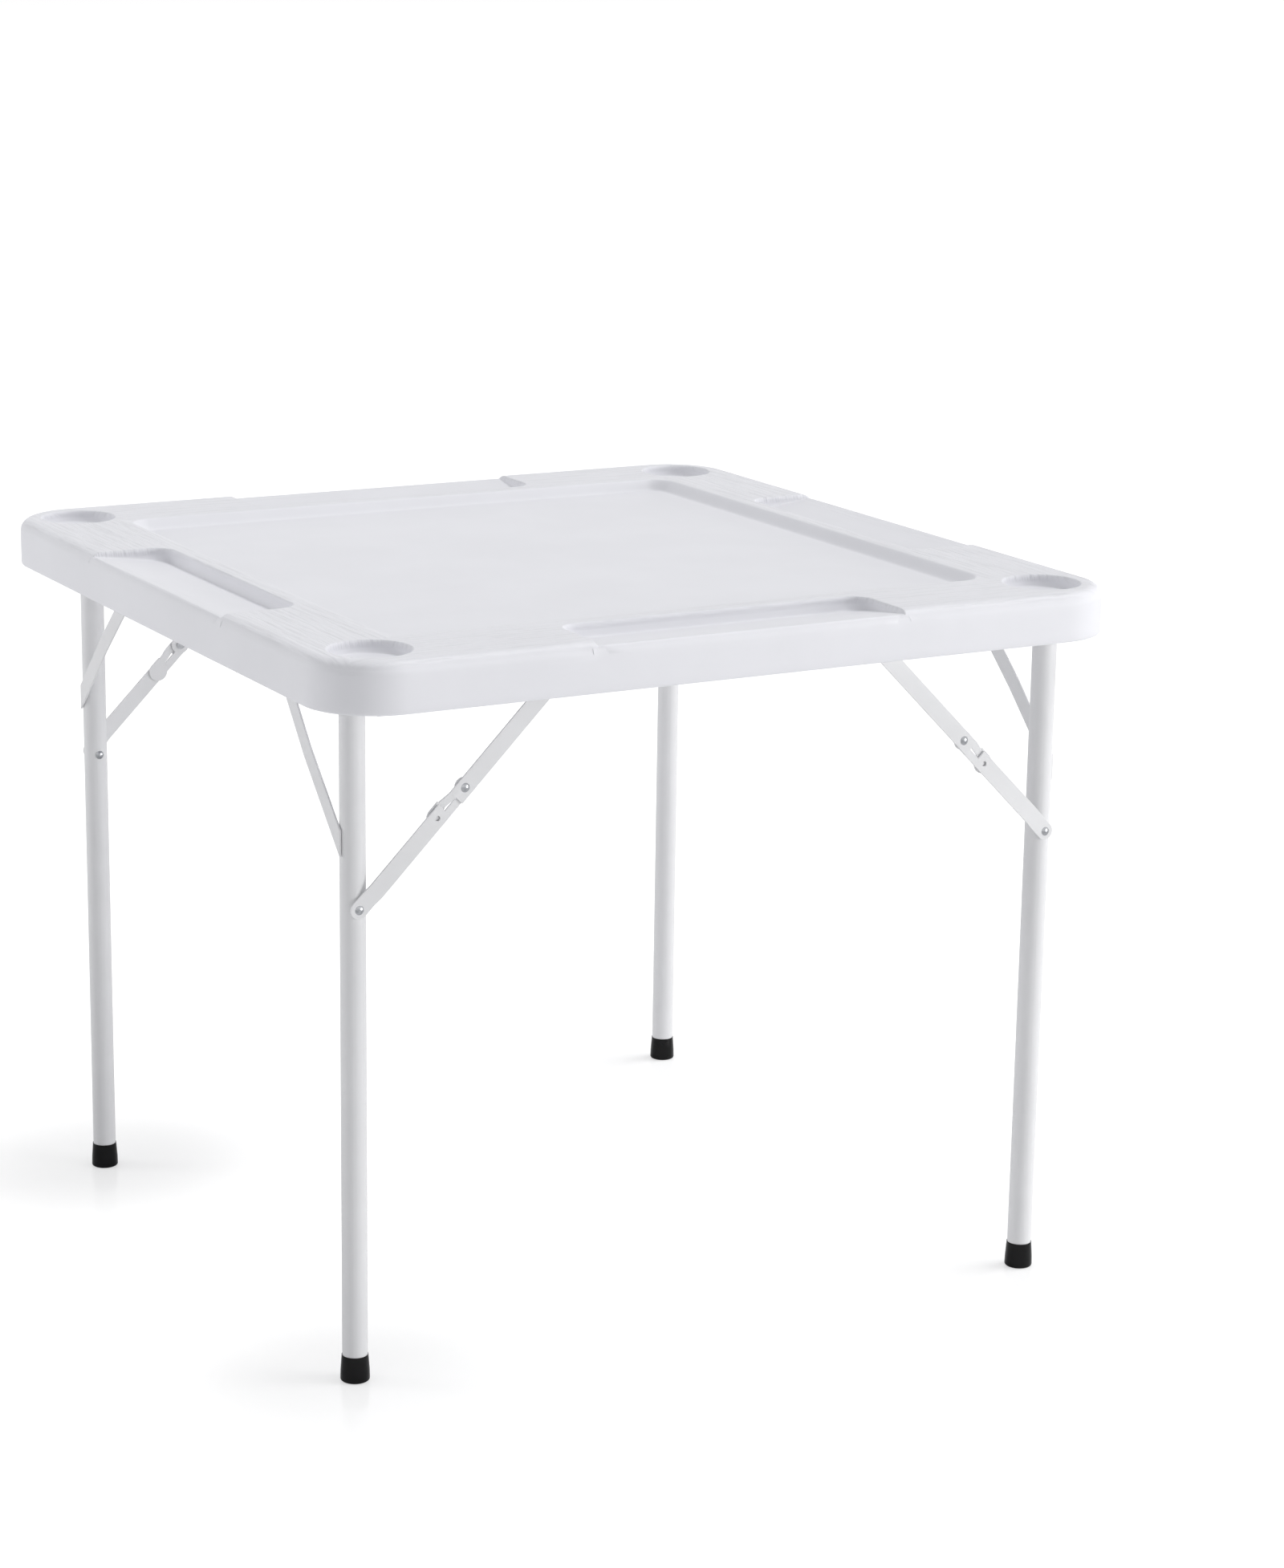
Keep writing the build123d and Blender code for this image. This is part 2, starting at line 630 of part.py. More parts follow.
# Leg frames
rivet_z = pivot_z - strut_reach
for frame_name, x_sign, leg_y in frames:
    frame_x = x_sign * pivot_x

    # Crossbar: the tube that joins both legs and turns in the bushes
    with BuildPart() as crossbar:
        with BuildSketch(Plane(origin=(frame_x, 0, pivot_z), z_dir=(0, 1, 0))):
            Circle(bar_radius)
            Circle(bar_radius - tube_wall, mode=Mode.SUBTRACT)
        extrude(amount=bar_half_length, both=True)
    save(crossbar.part, f"{frame_name}_crossbar")

    for side, y_sign in sides:
        # Leg: a round tube, drilled for the crossbar and for the strut's rivet
        with BuildPart() as leg:
            with BuildSketch(Plane.XY.offset(foot_floor)):
                with Locations((frame_x, y_sign * leg_y)):
                    Circle(leg_radius)
                    Circle(leg_radius - tube_wall, mode=Mode.SUBTRACT)
            extrude(amount=pivot_z + leg_top_overrun - foot_floor)
            with BuildSketch(Plane(origin=(frame_x, y_sign * leg_y, pivot_z), z_dir=(0, 1, 0))):
                Circle(bar_radius + weld_gap)
            extrude(amount=leg_radius + overrun, both=True, mode=Mode.SUBTRACT)
            with BuildSketch(Plane(origin=(frame_x, y_sign * leg_y, rivet_z), z_dir=(0, 1, 0))):
                Circle(pivot_hole_radius)
            extrude(amount=leg_radius + overrun, both=True, mode=Mode.SUBTRACT)
        save(leg.part, f"{frame_name}_leg_{side}")

        # Foot: a rubber cup on the end of the leg
        with BuildPart() as foot:
            with BuildSketch(Plane(origin=(frame_x, y_sign * leg_y, 0), x_dir=(1, 0, 0), z_dir=(0, -1, 0))):
                with BuildLine():
                    Polyline(
                        (0, 0),
                        (foot_radius - foot_chamfer, 0),
                        (foot_radius, foot_chamfer),
                        (foot_radius - foot_taper, foot_height),
                        (leg_radius + weld_gap, foot_height),
                        (leg_radius + weld_gap, foot_floor),
                        (0, foot_floor),
                        close=True,
                    )
                make_face()
            revolve(axis=Axis((frame_x, y_sign * leg_y, 0), (0, 0, 1)))
        save(foot.part, f"{frame_name}_foot_{side}")

        # Brace: a flat bar across the corner, on the outboard side, bent in to the thinner crossbar
        brace_face = Plane(
            origin=(x_sign * (pivot_x + leg_radius), y_sign * leg_y, pivot_z - brace_reach),
            x_dir=(0, y_sign * -1, 1),
            z_dir=(x_sign, 0, 0),
        )
        brace_edge = Plane(origin=brace_face.origin, x_dir=brace_face.x_dir, z_dir=brace_face.y_dir * -1)
        hand = x_sign * y_sign * -1
        half_width = brace_width / 2
        leg_trim = brace_leg_overhang * math.sqrt(2)
        bar_trim = (brace_reach + brace_bar_overhang) * math.sqrt(2)
        bend_end = brace_reach * math.sqrt(2) - brace_width
        bar_depth = brace_gap - leg_radius + bar_radius
        with BuildPart() as brace:
            with BuildSketch(brace_edge):
                with BuildLine():
                    Polyline(
                        (-leg_trim - half_width, brace_gap),
                        (brace_flat, brace_gap),
                        (bend_end, bar_depth),
                        (bar_trim + half_width, bar_depth),
                        (bar_trim + half_width, bar_depth + sheet_thickness),
                        (bend_end, bar_depth + sheet_thickness),
                        (brace_flat, brace_gap + sheet_thickness),
                        (-leg_trim - half_width, brace_gap + sheet_thickness),
                        close=True,
                    )
                make_face()
            extrude(amount=half_width, both=True)
            with BuildSketch(brace_face.offset(bar_depth - overrun)):
                with BuildLine():
                    Polyline(
                        (-leg_trim - half_width, -half_width * hand),
                        (bar_trim + half_width, -half_width * hand),
                        (bar_trim - half_width, half_width * hand),
                        (half_width - leg_trim, half_width * hand),
                        close=True,
                    )
                make_face()
            extrude(amount=brace_gap - bar_depth + sheet_thickness + overrun * 2, mode=Mode.INTERSECT)
        save(brace.part, f"{frame_name}_brace_{side}")

    # Leg rivets: a domed head inside and a shank that ends just proud of the leg's outer side
    leg_rivets = []
    for side, y_sign in sides:
        leg_rivet_steps = ((pivot_rivet_radius, -leg_diameter, leg_rivet_proud),)
        leg_rivets.append(
            turned_rivet(rivet_plane(frame_x, rivet_z, y_sign, leg_y), leg_rivet_steps, (-leg_diameter, -1))
        )
    with BuildPart() as rivet_pair:
        add(leg_rivets)
    save(rivet_pair.part, f"{frame_name}_leg_rivets")

# Locking struts
half_link = link_width / 2
tongue_slope_end = tongue_slope_start + tongue_slope_run
joggle_top = link_length - joggle_start
joggle_foot = joggle_top + joggle_run
for frame_name, x_sign, leg_y in frames:
    for side, y_sign in sides:
        # The tongue lies on the half towards the leg's pivot
        hand = x_sign * y_sign

        # Upper link: from the anchor to the lock joint, with a tongue stepped down behind the lower link
        with BuildPart() as upper_link:
            with BuildSketch(strut_plane(x_sign, y_sign, leg_y, upper_depth)):
                with Locations((-lock_shoulder, 0)):
                    Rectangle(link_length + lock_shoulder, link_width, align=(Align.MIN, Align.CENTER))
                with Locations((link_length, 0)):
                    Circle(half_link)
                    Circle(pivot_hole_radius, mode=Mode.SUBTRACT)
                with Locations((-tongue_slope_start, hand * (half_link + tongue_slit) / 2)):
                    Rectangle(lock_shoulder, half_link - tongue_slit, align=(Align.MIN, Align.CENTER))
                Circle(lock_hole_radius, mode=Mode.SUBTRACT)
            extrude(amount=sheet_thickness)
            with BuildSketch(
                strut_edge_plane(x_sign, y_sign, leg_y, hand * (half_link + tongue_slit) / 2)
            ):
                with BuildLine():
                    Polyline(
                        (-tongue_slope_start, upper_depth),
                        (-tongue_slope_start, upper_depth + sheet_thickness),
                        (-tongue_slope_end, tongue_depth + sheet_thickness),
                        (-tongue_slope_end, tongue_depth),
                        close=True,
                    )
                make_face()
            extrude(amount=(half_link - tongue_slit) / 2, both=True)
            with BuildSketch(strut_plane(x_sign, y_sign, leg_y, tongue_depth)):
                with Locations((-tongue_slope_end, hand * tongue_end_radius / 2)):
                    Rectangle(
                        nib_reach - tongue_slope_end, tongue_end_radius, align=(Align.MAX, Align.CENTER)
                    )
                with Locations((-nib_reach, 0)):
                    Circle(tongue_end_radius)
            extrude(amount=sheet_thickness)
            with BuildSketch(strut_plane(x_sign, y_sign, leg_y, tongue_depth + sheet_thickness)):
                with Locations((-nib_reach, 0)):
                    Circle(nib_diameter / 2)
            extrude(amount=nib_height)
        save(upper_link.part, f"{frame_name}_upper_link_{side}")

        # Lower link: from the lock joint to the leg, necked beside the tongue and joggled in to the leg
        with BuildPart() as lower_link:
            with BuildSketch(strut_plane(x_sign, y_sign, leg_y, lower_depth)):
                Circle(lower_head_radius)
                with Locations((0, -hand * (half_link + tongue_slit) / 2)):
                    Rectangle(neck_end, half_link - tongue_slit, align=(Align.MAX, Align.CENTER))
                with Locations((-neck_end, 0)):
                    Rectangle(joggle_top - neck_end, link_width, align=(Align.MAX, Align.CENTER))
                Circle(lock_hole_radius, mode=Mode.SUBTRACT)
                with Locations((-nib_reach, 0)):
                    Circle(nib_hole_diameter / 2, mode=Mode.SUBTRACT)
            extrude(amount=sheet_thickness)
            with BuildSketch(strut_edge_plane(x_sign, y_sign, leg_y, 0)):
                with BuildLine():
                    Polyline(
                        (-joggle_top, lower_depth),
                        (-joggle_top, lower_depth + sheet_thickness),
                        (-joggle_foot, tongue_depth + sheet_thickness),
                        (-joggle_foot, tongue_depth),
                        close=True,
                    )
                make_face()
            extrude(amount=half_link, both=True)
            with BuildSketch(strut_plane(x_sign, y_sign, leg_y, tongue_depth)):
                with Locations((-joggle_foot, 0)):
                    Rectangle(link_length - joggle_foot, link_width, align=(Align.MAX, Align.CENTER))
                with Locations((-link_length, 0)):
                    Circle(half_link)
                    Circle(pivot_hole_radius, mode=Mode.SUBTRACT)
            extrude(amount=sheet_thickness)
        save(lower_link.part, f"{frame_name}_lower_link_{side}")

        # Lock rivet: fast in the upper link, and the lower link turns on it
        lock_face = lower_depth - face_clearance
        lock_steps = (
            (head_radius, lock_face - lock_inner_head, lock_face),
            (lock_rivet_radius, lock_face, upper_depth + sheet_thickness),
        )
        lock_rivet = turned_rivet(
            rivet_plane(x_sign * (pivot_x - strut_reach / 2), pivot_z - strut_reach / 2, y_sign, leg_y),
            lock_steps,
            (upper_depth + sheet_thickness, 1),
        )
        save(lock_rivet, f"{frame_name}_lock_rivet_{side}")

        # End rivet: the domed outer head of the joint with the leg
        end_steps = ((pivot_rivet_radius, tongue_depth, tongue_depth + sheet_thickness),)
        end_rivet = turned_rivet(
            rivet_plane(x_sign * pivot_x, rivet_z, y_sign, leg_y),
            end_steps,
            (tongue_depth + sheet_thickness, 1),
        )
        save(end_rivet, f"{frame_name}_end_rivet_{side}")
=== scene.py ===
"""Folding card table: the looks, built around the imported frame. All lengths are in metres."""

import json
import math

import bmesh
import bpy
import numpy as np
from mathutils import Matrix, Vector
from mathutils.geometry import delaunay_2d_cdt


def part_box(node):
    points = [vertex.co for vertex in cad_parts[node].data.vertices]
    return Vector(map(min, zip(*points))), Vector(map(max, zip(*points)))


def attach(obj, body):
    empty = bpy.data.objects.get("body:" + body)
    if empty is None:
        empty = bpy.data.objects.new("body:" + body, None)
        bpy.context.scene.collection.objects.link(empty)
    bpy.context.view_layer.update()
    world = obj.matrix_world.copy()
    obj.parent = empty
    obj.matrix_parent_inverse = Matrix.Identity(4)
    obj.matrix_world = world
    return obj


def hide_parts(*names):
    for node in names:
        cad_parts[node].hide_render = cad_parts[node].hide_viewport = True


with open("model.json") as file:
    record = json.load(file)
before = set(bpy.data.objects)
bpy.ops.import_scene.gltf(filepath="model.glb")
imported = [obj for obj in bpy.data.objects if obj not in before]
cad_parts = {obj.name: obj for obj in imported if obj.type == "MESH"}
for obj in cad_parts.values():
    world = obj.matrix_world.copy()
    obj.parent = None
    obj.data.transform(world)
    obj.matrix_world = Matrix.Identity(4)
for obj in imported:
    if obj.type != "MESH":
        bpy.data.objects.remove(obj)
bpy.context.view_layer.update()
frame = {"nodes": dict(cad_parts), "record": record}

bl_info = {
    "name": "Folding card table",
    "version": (1, 0, 0),
    "blender": (4, 5, 0),
    "location": "View3D > Sidebar > Card table",
    "description": "Dresses a folding card table: moulded top, coated steel frames, struts and feet",
    "category": "Add Mesh",
}

MM = 0.001
SIDES = ("front", "back")
FRAMES = ("narrow", "wide")
TOP_BODY = "top_assembly"
TOP_LOW, TOP_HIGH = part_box("tabletop")
RIM_LEVEL = TOP_HIGH.z
SLOT_OF = {row["node"]: row["material_slot"] for row in frame["record"]["subparts"]}
BODY_OF = {node: body for body, nodes in frame["record"]["behaviour"]["bodies"].items() for node in nodes}


# Settings

class TopSettings(bpy.types.PropertyGroup):
    """Sizes and colour of the moulded top."""

    field_side: bpy.props.FloatProperty(
        name="Field side", description="Side of the sunken field at the rim",
        default=670 * MM, unit="LENGTH")
    field_depth: bpy.props.FloatProperty(
        name="Field depth", description="Depth of the sunken field",
        default=12 * MM, unit="LENGTH")
    field_run: bpy.props.FloatProperty(
        name="Field wall run", description="Width of the field's sloping wall in plan",
        default=9 * MM, unit="LENGTH")
    field_corner: bpy.props.FloatProperty(
        name="Field corner", description="Corner radius of the field's floor",
        default=16 * MM, unit="LENGTH")
    cup_diameter: bpy.props.FloatProperty(
        name="Cup diameter", description="Diameter of the cup recesses",
        default=80 * MM, unit="LENGTH")
    cup_inset: bpy.props.FloatProperty(
        name="Cup inset", description="Cup recess centre from the table's edge",
        default=64.5 * MM, unit="LENGTH")
    cup_depth: bpy.props.FloatProperty(
        name="Cup depth", description="Depth of the cup recesses",
        default=12 * MM, unit="LENGTH")
    tray_length: bpy.props.FloatProperty(
        name="Tray length", description="Length of each tray",
        default=344 * MM, unit="LENGTH")
    tray_width: bpy.props.FloatProperty(
        name="Tray width", description="Width of each tray to the table's edge",
        default=86 * MM, unit="LENGTH")
    tray_deep: bpy.props.FloatProperty(
        name="Tray inner depth", description="Depth of a tray at its inner wall",
        default=15 * MM, unit="LENGTH")
    tray_shallow: bpy.props.FloatProperty(
        name="Tray outer depth", description="Depth of a tray at the table's edge",
        default=3.5 * MM, unit="LENGTH")
    tray_corner: bpy.props.FloatProperty(
        name="Tray corner", description="Corner radius of the trays",
        default=22 * MM, unit="LENGTH")
    corner_radius: bpy.props.FloatProperty(
        name="Corner radius", description="Outer corner radius of the top",
        default=72 * MM, unit="LENGTH")
    rim_rounding: bpy.props.FloatProperty(
        name="Rim rounding", description="Rounding of the top's outer edge",
        default=13 * MM, unit="LENGTH")
    # The grain's strength also sets how dark the painted shade in the grain's grooves is
    grain: bpy.props.FloatProperty(
        name="Grain", description="Strength of the embossed grain on the border",
        default=0.8, min=0, max=1)
    colour: bpy.props.FloatVectorProperty(
        name="Colour", description="Colour of the plastic",
        subtype="COLOR", size=3, default=(0.865, 0.865, 0.90))


class SteelSettings(bpy.types.PropertyGroup):
    """Finish of the coated steel and of the small fittings."""

    edge_round: bpy.props.FloatProperty(
        name="Edge rounding", description="Rounding of the strips' and brackets' edges",
        default=0.45 * MM, unit="LENGTH")
    coat_colour: bpy.props.FloatVectorProperty(
        name="Coating", description="Colour of the powder coat",
        subtype="COLOR", size=3, default=(0.85, 0.85, 0.86))
    coat_roughness: bpy.props.FloatProperty(
        name="Coating roughness", description="Roughness of the powder coat",
        default=0.44, min=0, max=1)
    rubber_colour: bpy.props.FloatVectorProperty(
        name="Rubber", description="Colour of the rubber feet",
        subtype="COLOR", size=3, default=(0.003, 0.003, 0.0033))


class StageSettings(bpy.types.PropertyGroup):
    """Camera and light."""

    eye: bpy.props.FloatVectorProperty(
        name="Camera place", description="Where the camera stands",
        subtype="XYZ", size=3, unit="LENGTH", default=(-1.7557, -3.3410, 1.4448))
    yaw: bpy.props.FloatProperty(
        name="Yaw", description="Camera heading, from +Y towards +X",
        default=math.radians(29.374), subtype="ANGLE")
    pitch: bpy.props.FloatProperty(
        name="Pitch", description="How far the camera looks down",
        default=math.radians(14.314), subtype="ANGLE")
    roll: bpy.props.FloatProperty(
        name="Roll", description="Camera roll",
        default=math.radians(0.883), subtype="ANGLE")
    focal_pixels: bpy.props.FloatProperty(
        name="Focal length in pixels", description="Focal length in pixels of the tall picture",
        default=4528.5)
    top_sun: bpy.props.FloatProperty(
        name="Top light", description="Strength of the soft light from above",
        default=1.36)
    key_power: bpy.props.FloatProperty(
        name="Key light", description="Power of the key light on the right, in watts",
        default=122)
    rim_power: bpy.props.FloatProperty(
        name="Rim light", description="Power of the light from the far left, in watts",
        default=35)
    sky: bpy.props.FloatProperty(
        name="Sky", description="Strength of the even light from all round",
        default=0.42)
    floor_glow: bpy.props.FloatProperty(
        name="Floor glow", description="How far the floor round the feet is lifted towards white",
        default=0.43, min=0, max=1)


# Shader expressions

class Wire:
    """One output socket in a finish. Sums, differences and products of wires add their own Math nodes."""

    def __init__(self, finish, socket):
        self.finish = finish
        self.socket = socket

    def maths(self, operation, *values):
        """A Math node on these values, which are numbers or wires."""
        return self.finish.node("ShaderNodeMath", {"operation": operation}, dict(enumerate(values)))

    def __add__(self, other):
        return self.maths("ADD", self, other)

    def __sub__(self, other):
        return self.maths("SUBTRACT", self, other)

    def __rsub__(self, other):
        return self.maths("SUBTRACT", other, self)

    def __mul__(self, other):
        return self.maths("MULTIPLY", self, other)

    def __abs__(self):
        return self.maths("ABSOLUTE", self)

    __radd__ = __add__
    __rmul__ = __mul__

    def output(self, key):
        """Another output of the same node."""
        return Wire(self.finish, self.socket.node.outputs[key])

    def band(self, low, high):
        """0 below low, 1 above high and a smooth step between."""
        return self.finish.node(
            "ShaderNodeMapRange", {"interpolation_type": "SMOOTHSTEP"}, {0: self, 1: low, 2: high})


# Between which noise values a cloud turns to the second shade, and how far mottle darkens and lightens
CLOUD_BAND = (0.3, 0.7)
MOTTLE_GAINS = (0.985, 1.01)


class Finish:
    """The nodes of a material, or of a world, under construction."""

    def __init__(self, name, kind=bpy.data.materials):
        self.owner = kind.new(name)
        self.owner.use_nodes = True
        self.tree = self.owner.node_tree
        self.tree.nodes.clear()

    def node(self, kind, settings, sockets, output=0):
        """A node of this kind: its settings first, then its sockets' values or wires. Returns one output."""
        made = self.tree.nodes.new(kind)
        for key, value in settings.items():
            setattr(made, key, value)
        for key, value in sockets.items():
            if isinstance(value, Wire):
                self.tree.links.new(value.socket, made.inputs[key])
            else:
                made.inputs[key].default_value = value
        return Wire(self, made.outputs[output])

    def place(self, scale=(1, 1, 1)):
        """Object coordinates, scaled."""
        here = self.node("ShaderNodeTexCoord", {}, {}, "Object")
        return self.node("ShaderNodeMapping", {}, {"Vector": here, "Scale": scale})

    def axes(self):
        """The three Object coordinates, each as a wire."""
        split = self.node("ShaderNodeSeparateXYZ", {}, {"Vector": self.place()})
        return [split.output(axis) for axis in "XYZ"]

    def noise(self, scale, detail=3, roughness=0.5, vector=None):
        """Noise with scale features to the metre, or to the unit of the vector given."""
        sockets = {"Vector": vector or self.place(), "Scale": scale, "Detail": detail, "Roughness": roughness}
        return self.node("ShaderNodeTexNoise", {}, sockets)

    def blend(self, factor, first, second):
        """A mix of two colours."""
        return self.node("ShaderNodeMix", {"data_type": "RGBA"}, {0: factor, 6: first, 7: second}, 2)

    def mottle(self, noise, colour):
        """A colour with faint darker and lighter clouds."""
        return self.blend(noise.band(*CLOUD_BAND), *(rgba(colour, gain) for gain in MOTTLE_GAINS))

    def bump(self, height, distance, strength=1.0, normal=None):
        """A normal that leans with the height; it starts from another normal if one is given."""
        sockets = {"Height": height, "Distance": distance, "Strength": strength}
        if normal:
            sockets["Normal"] = normal
        return self.node("ShaderNodeBump", {}, sockets)

    def close(self, **sockets):
        """Ends the finish in a Principled shader, whose sockets are given with underscores for spaces."""
        named = {key.replace("_", " "): value for key, value in sockets.items()}
        return self.shade(self.node("ShaderNodeBsdfPrincipled", {}, named))

    def shade(self, shader, end="ShaderNodeOutputMaterial"):
        """Puts a shader on the surface."""
        last = self.tree.nodes.new(end)
        self.tree.links.new(shader.socket, last.inputs["Surface"])
        return self.owner


def rgba(colour, gain=1.0):
    """A colour with full alpha, made lighter or darker by gain."""
    return (*(min(1.0, c * gain) for c in colour), 1.0)


# Finishes

# The border's grain: features to the metre along and across it, its noise, its relief, and how far it runs
# from the field's edge, below the rim's level and past the corners' diagonals. The painted shade in its
# grooves: the band of noise that marks the grooves, how much of the shade shows and how dark it is painted
GRAIN_ALONG, GRAIN_ACROSS = 12, 210
GRAIN_NOISE = {"scale": 1, "detail": 4, "roughness": 0.62}
GRAIN_RELIEF = 2.6 * MM
GRAIN_FROM_FIELD = (-2 * MM, 6 * MM)
GRAIN_FROM_RIM = (-8 * MM, -2 * MM)
GRAIN_MITRE = 3 * MM
GROOVE_SHADE_BAND = (0.36, 0.5)
GROOVE_SHADE_SHARE = 0.2857
GROOVE_SHADE_GAIN = 0.74


def moulded_plastic(settings):
    """Off-white moulded plastic: smooth field, embossed grain along each side of the border with painted
    shade in its grooves, faint mottle.
    """
    f = Finish("moulded_plastic_finish")
    x, y, z = f.axes()
    far_x, far_y = abs(x), abs(y)
    reach = x.maths("MAXIMUM", far_x, far_y)
    on_border = reach.band(*(settings.field_side / 2 + gap for gap in GRAIN_FROM_FIELD))
    facing_up = z.band(*(RIM_LEVEL + level for level in GRAIN_FROM_RIM))
    grained = on_border * facing_up
    along_x = (far_y - far_x).band(-GRAIN_MITRE, GRAIN_MITRE)
    grain_x = f.noise(**GRAIN_NOISE, vector=f.place((GRAIN_ALONG, GRAIN_ACROSS, GRAIN_ALONG)))
    grain_y = f.noise(**GRAIN_NOISE, vector=f.place((GRAIN_ACROSS, GRAIN_ALONG, GRAIN_ALONG)))
    grain = grain_x * along_x + grain_y * (1 - along_x)
    swell = f.bump(f.noise(scale=26, detail=2), distance=0.25 * MM, strength=0.5)
    pores = f.noise(scale=700, detail=2, roughness=0.6)
    skin = f.bump(pores, distance=0.012 * MM, strength=0.5, normal=swell)
    carved = f.bump(grain * grained, GRAIN_RELIEF, settings.grain, normal=skin)
    # Painted shade: the grain's grooves are darkened in the base colour, where shade would fall in them
    groove_shade = (1 - grain.band(*GROOVE_SHADE_BAND)) * grained * (GROOVE_SHADE_SHARE * settings.grain)
    mottled = f.mottle(f.noise(scale=7, roughness=0.55), settings.colour)
    worn = f.noise(scale=90, roughness=0.6)
    return f.close(
        Base_Color=f.blend(groove_shade, mottled, rgba(settings.colour, GROOVE_SHADE_GAIN)),
        Roughness=0.44 + worn * 0.12, Normal=carved, Specular_IOR_Level=0.42)


def coated_steel(settings):
    """White powder coat: satin, with a fine orange peel and a faint grey variation."""
    f = Finish("coated_steel_finish")
    peel = f.noise(scale=260, detail=2)
    return f.close(
        Base_Color=f.mottle(f.noise(scale=18, roughness=0.55), settings.coat_colour),
        Roughness=settings.coat_roughness - 0.05 + peel * 0.1,
        Normal=f.bump(peel, distance=0.02 * MM, strength=0.5), Specular_IOR_Level=0.32)


def foot_rubber(settings):
    """Black moulded rubber with a satin skin, a little dust and fine pores."""
    f = Finish("foot_rubber_finish")
    dust = f.noise(scale=60, detail=4, roughness=0.6).band(0.55, 0.8)
    pores = f.noise(scale=1800, detail=2, roughness=0.6)
    dusty = rgba(settings.rubber_colour, gain=3)
    return f.close(
        Base_Color=f.blend(dust * 0.25, rgba(settings.rubber_colour), dusty),
        Roughness=0.2 + dust * 0.12,
        Normal=f.bump(pores, distance=0.02 * MM, strength=0.3), Specular_IOR_Level=0.22)


def fitting(name, shades, clouds, skin, smoothest, swing, distance, strength, band=CLOUD_BAND, **more):
    """A small part's finish: clouds of two shades under a skin that varies the roughness and the normal.

    clouds and skin are noises: features to the metre, detail and roughness. The finish's own roughness runs
    from smoothest up by swing, and distance and strength are the skin's relief."""
    f = Finish(name + "_finish")
    grit = f.noise(*skin)
    colour = f.blend(f.noise(*clouds).band(*band), *(rgba(shade) for shade in shades))
    return f.close(
        Base_Color=colour, Roughness=smoothest + grit * swing,
        Normal=f.bump(grit, distance, strength), **more)


FITTINGS = {
    # Black moulded plastic, a little glossier than the rubber
    "clip_plastic": {
        "shades": ((0.016, 0.016, 0.018), (0.024, 0.024, 0.026)), "clouds": (40, 2, 0.5),
        "skin": (900, 2, 0.5), "smoothest": 0.36, "swing": 0.12, "distance": 0.03 * MM, "strength": 0.4},
    # Natural nylon, milky and slightly waxy
    "bush_nylon": {
        "shades": ((0.66, 0.65, 0.60), (0.72, 0.71, 0.66)), "clouds": (55, 3, 0.5),
        "skin": (1100, 2, 0.5), "smoothest": 0.42, "swing": 0.1, "distance": 0.02 * MM, "strength": 0.4},
    # Plated rivet heads: bright, with faint marks from the setting punch
    "rivet_chrome": {
        "shades": ((0.50, 0.51, 0.53), (0.34, 0.35, 0.37)), "clouds": (260, 3, 0.6), "band": (0.35, 0.75),
        "skin": (260, 3, 0.6), "smoothest": 0.16, "swing": 0.14, "distance": 0.02 * MM, "strength": 0.35,
        "Metallic": 1.0},
    # Zinc-plated screws: pale grey with a soft cloudy sheen
    "screw_zinc": {
        "shades": ((0.50, 0.51, 0.52), (0.62, 0.63, 0.64)), "clouds": (320, 3, 0.6),
        "skin": (320, 3, 0.6), "smoothest": 0.28, "swing": 0.16, "distance": 0.02 * MM, "strength": 0.4,
        "Metallic": 1.0},
}
MAIN_FINISHES = {
    "moulded_plastic": (moulded_plastic, "table_top"),
    "coated_steel": (coated_steel, "table_steel"),
    "foot_rubber": (foot_rubber, "table_steel"),
}


def finish(slot_name):
    """The finish of a material slot, made once."""
    made = bpy.data.materials.get(slot_name + "_finish")
    if made:
        return made
    if slot_name in FITTINGS:
        return fitting(slot_name, **FITTINGS[slot_name])
    maker, group = MAIN_FINISHES[slot_name]
    return maker(getattr(bpy.context.scene, group))


# Mesh helpers, with the distance within which points are joined, and a length that stands for none
MERGE_REACH = 0.002 * MM
TINY = 1e-7


def new_piece(name, mesh, body, slot_name, *replaced):
    """Puts a finished mesh into the scene as a piece that rides on a body and stands for CAD nodes."""
    piece = bpy.data.objects.new(name, mesh)
    bpy.context.scene.collection.objects.link(piece)
    mesh.materials.append(finish(slot_name))
    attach(piece, body)
    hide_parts(*replaced)
    return piece


def mesh_of(name, points, faces):
    """A mesh from an array of points and arrays of faces with three or four corners each."""
    mesh = bpy.data.meshes.new(name)
    mesh.from_pydata(points.tolist(), [], [face for block in faces for face in block.tolist()])
    mesh.update()
    return mesh


def smooth(mesh, angle):
    """Smooth shading, with edges sharper than this angle in degrees left sharp."""
    mesh.polygons.foreach_set("use_smooth", np.ones(len(mesh.polygons), bool))
    mesh.set_sharp_from_angle(angle=math.radians(angle))


def merge(mesh):
    """Joins points that lie on each other and drops faces without area."""
    work = bmesh.new()
    work.from_mesh(mesh)
    bmesh.ops.remove_doubles(work, verts=work.verts, dist=MERGE_REACH)
    bmesh.ops.dissolve_degenerate(work, edges=work.edges, dist=MERGE_REACH)
    work.to_mesh(mesh)
    work.free()
    mesh.update()


def ease_minimum(a, b, width):
    """The smaller of a and b, with a parabola of this width in height where they cross."""
    gap = np.clip(width - np.abs(a - b), 0, None)
    return np.minimum(a, b) - gap**2 / (4 * width)


def round_rectangle(x, y, half_x, half_y, radius):
    """Distance inside a rounded rectangle about the origin; it is below 0 outside."""
    qx = np.abs(x) - (half_x - radius)
    qy = np.abs(y) - (half_y - radius)
    outside = np.hypot(np.clip(qx, 0, None), np.clip(qy, 0, None))
    return radius - outside - np.minimum(np.maximum(qx, qy), 0)


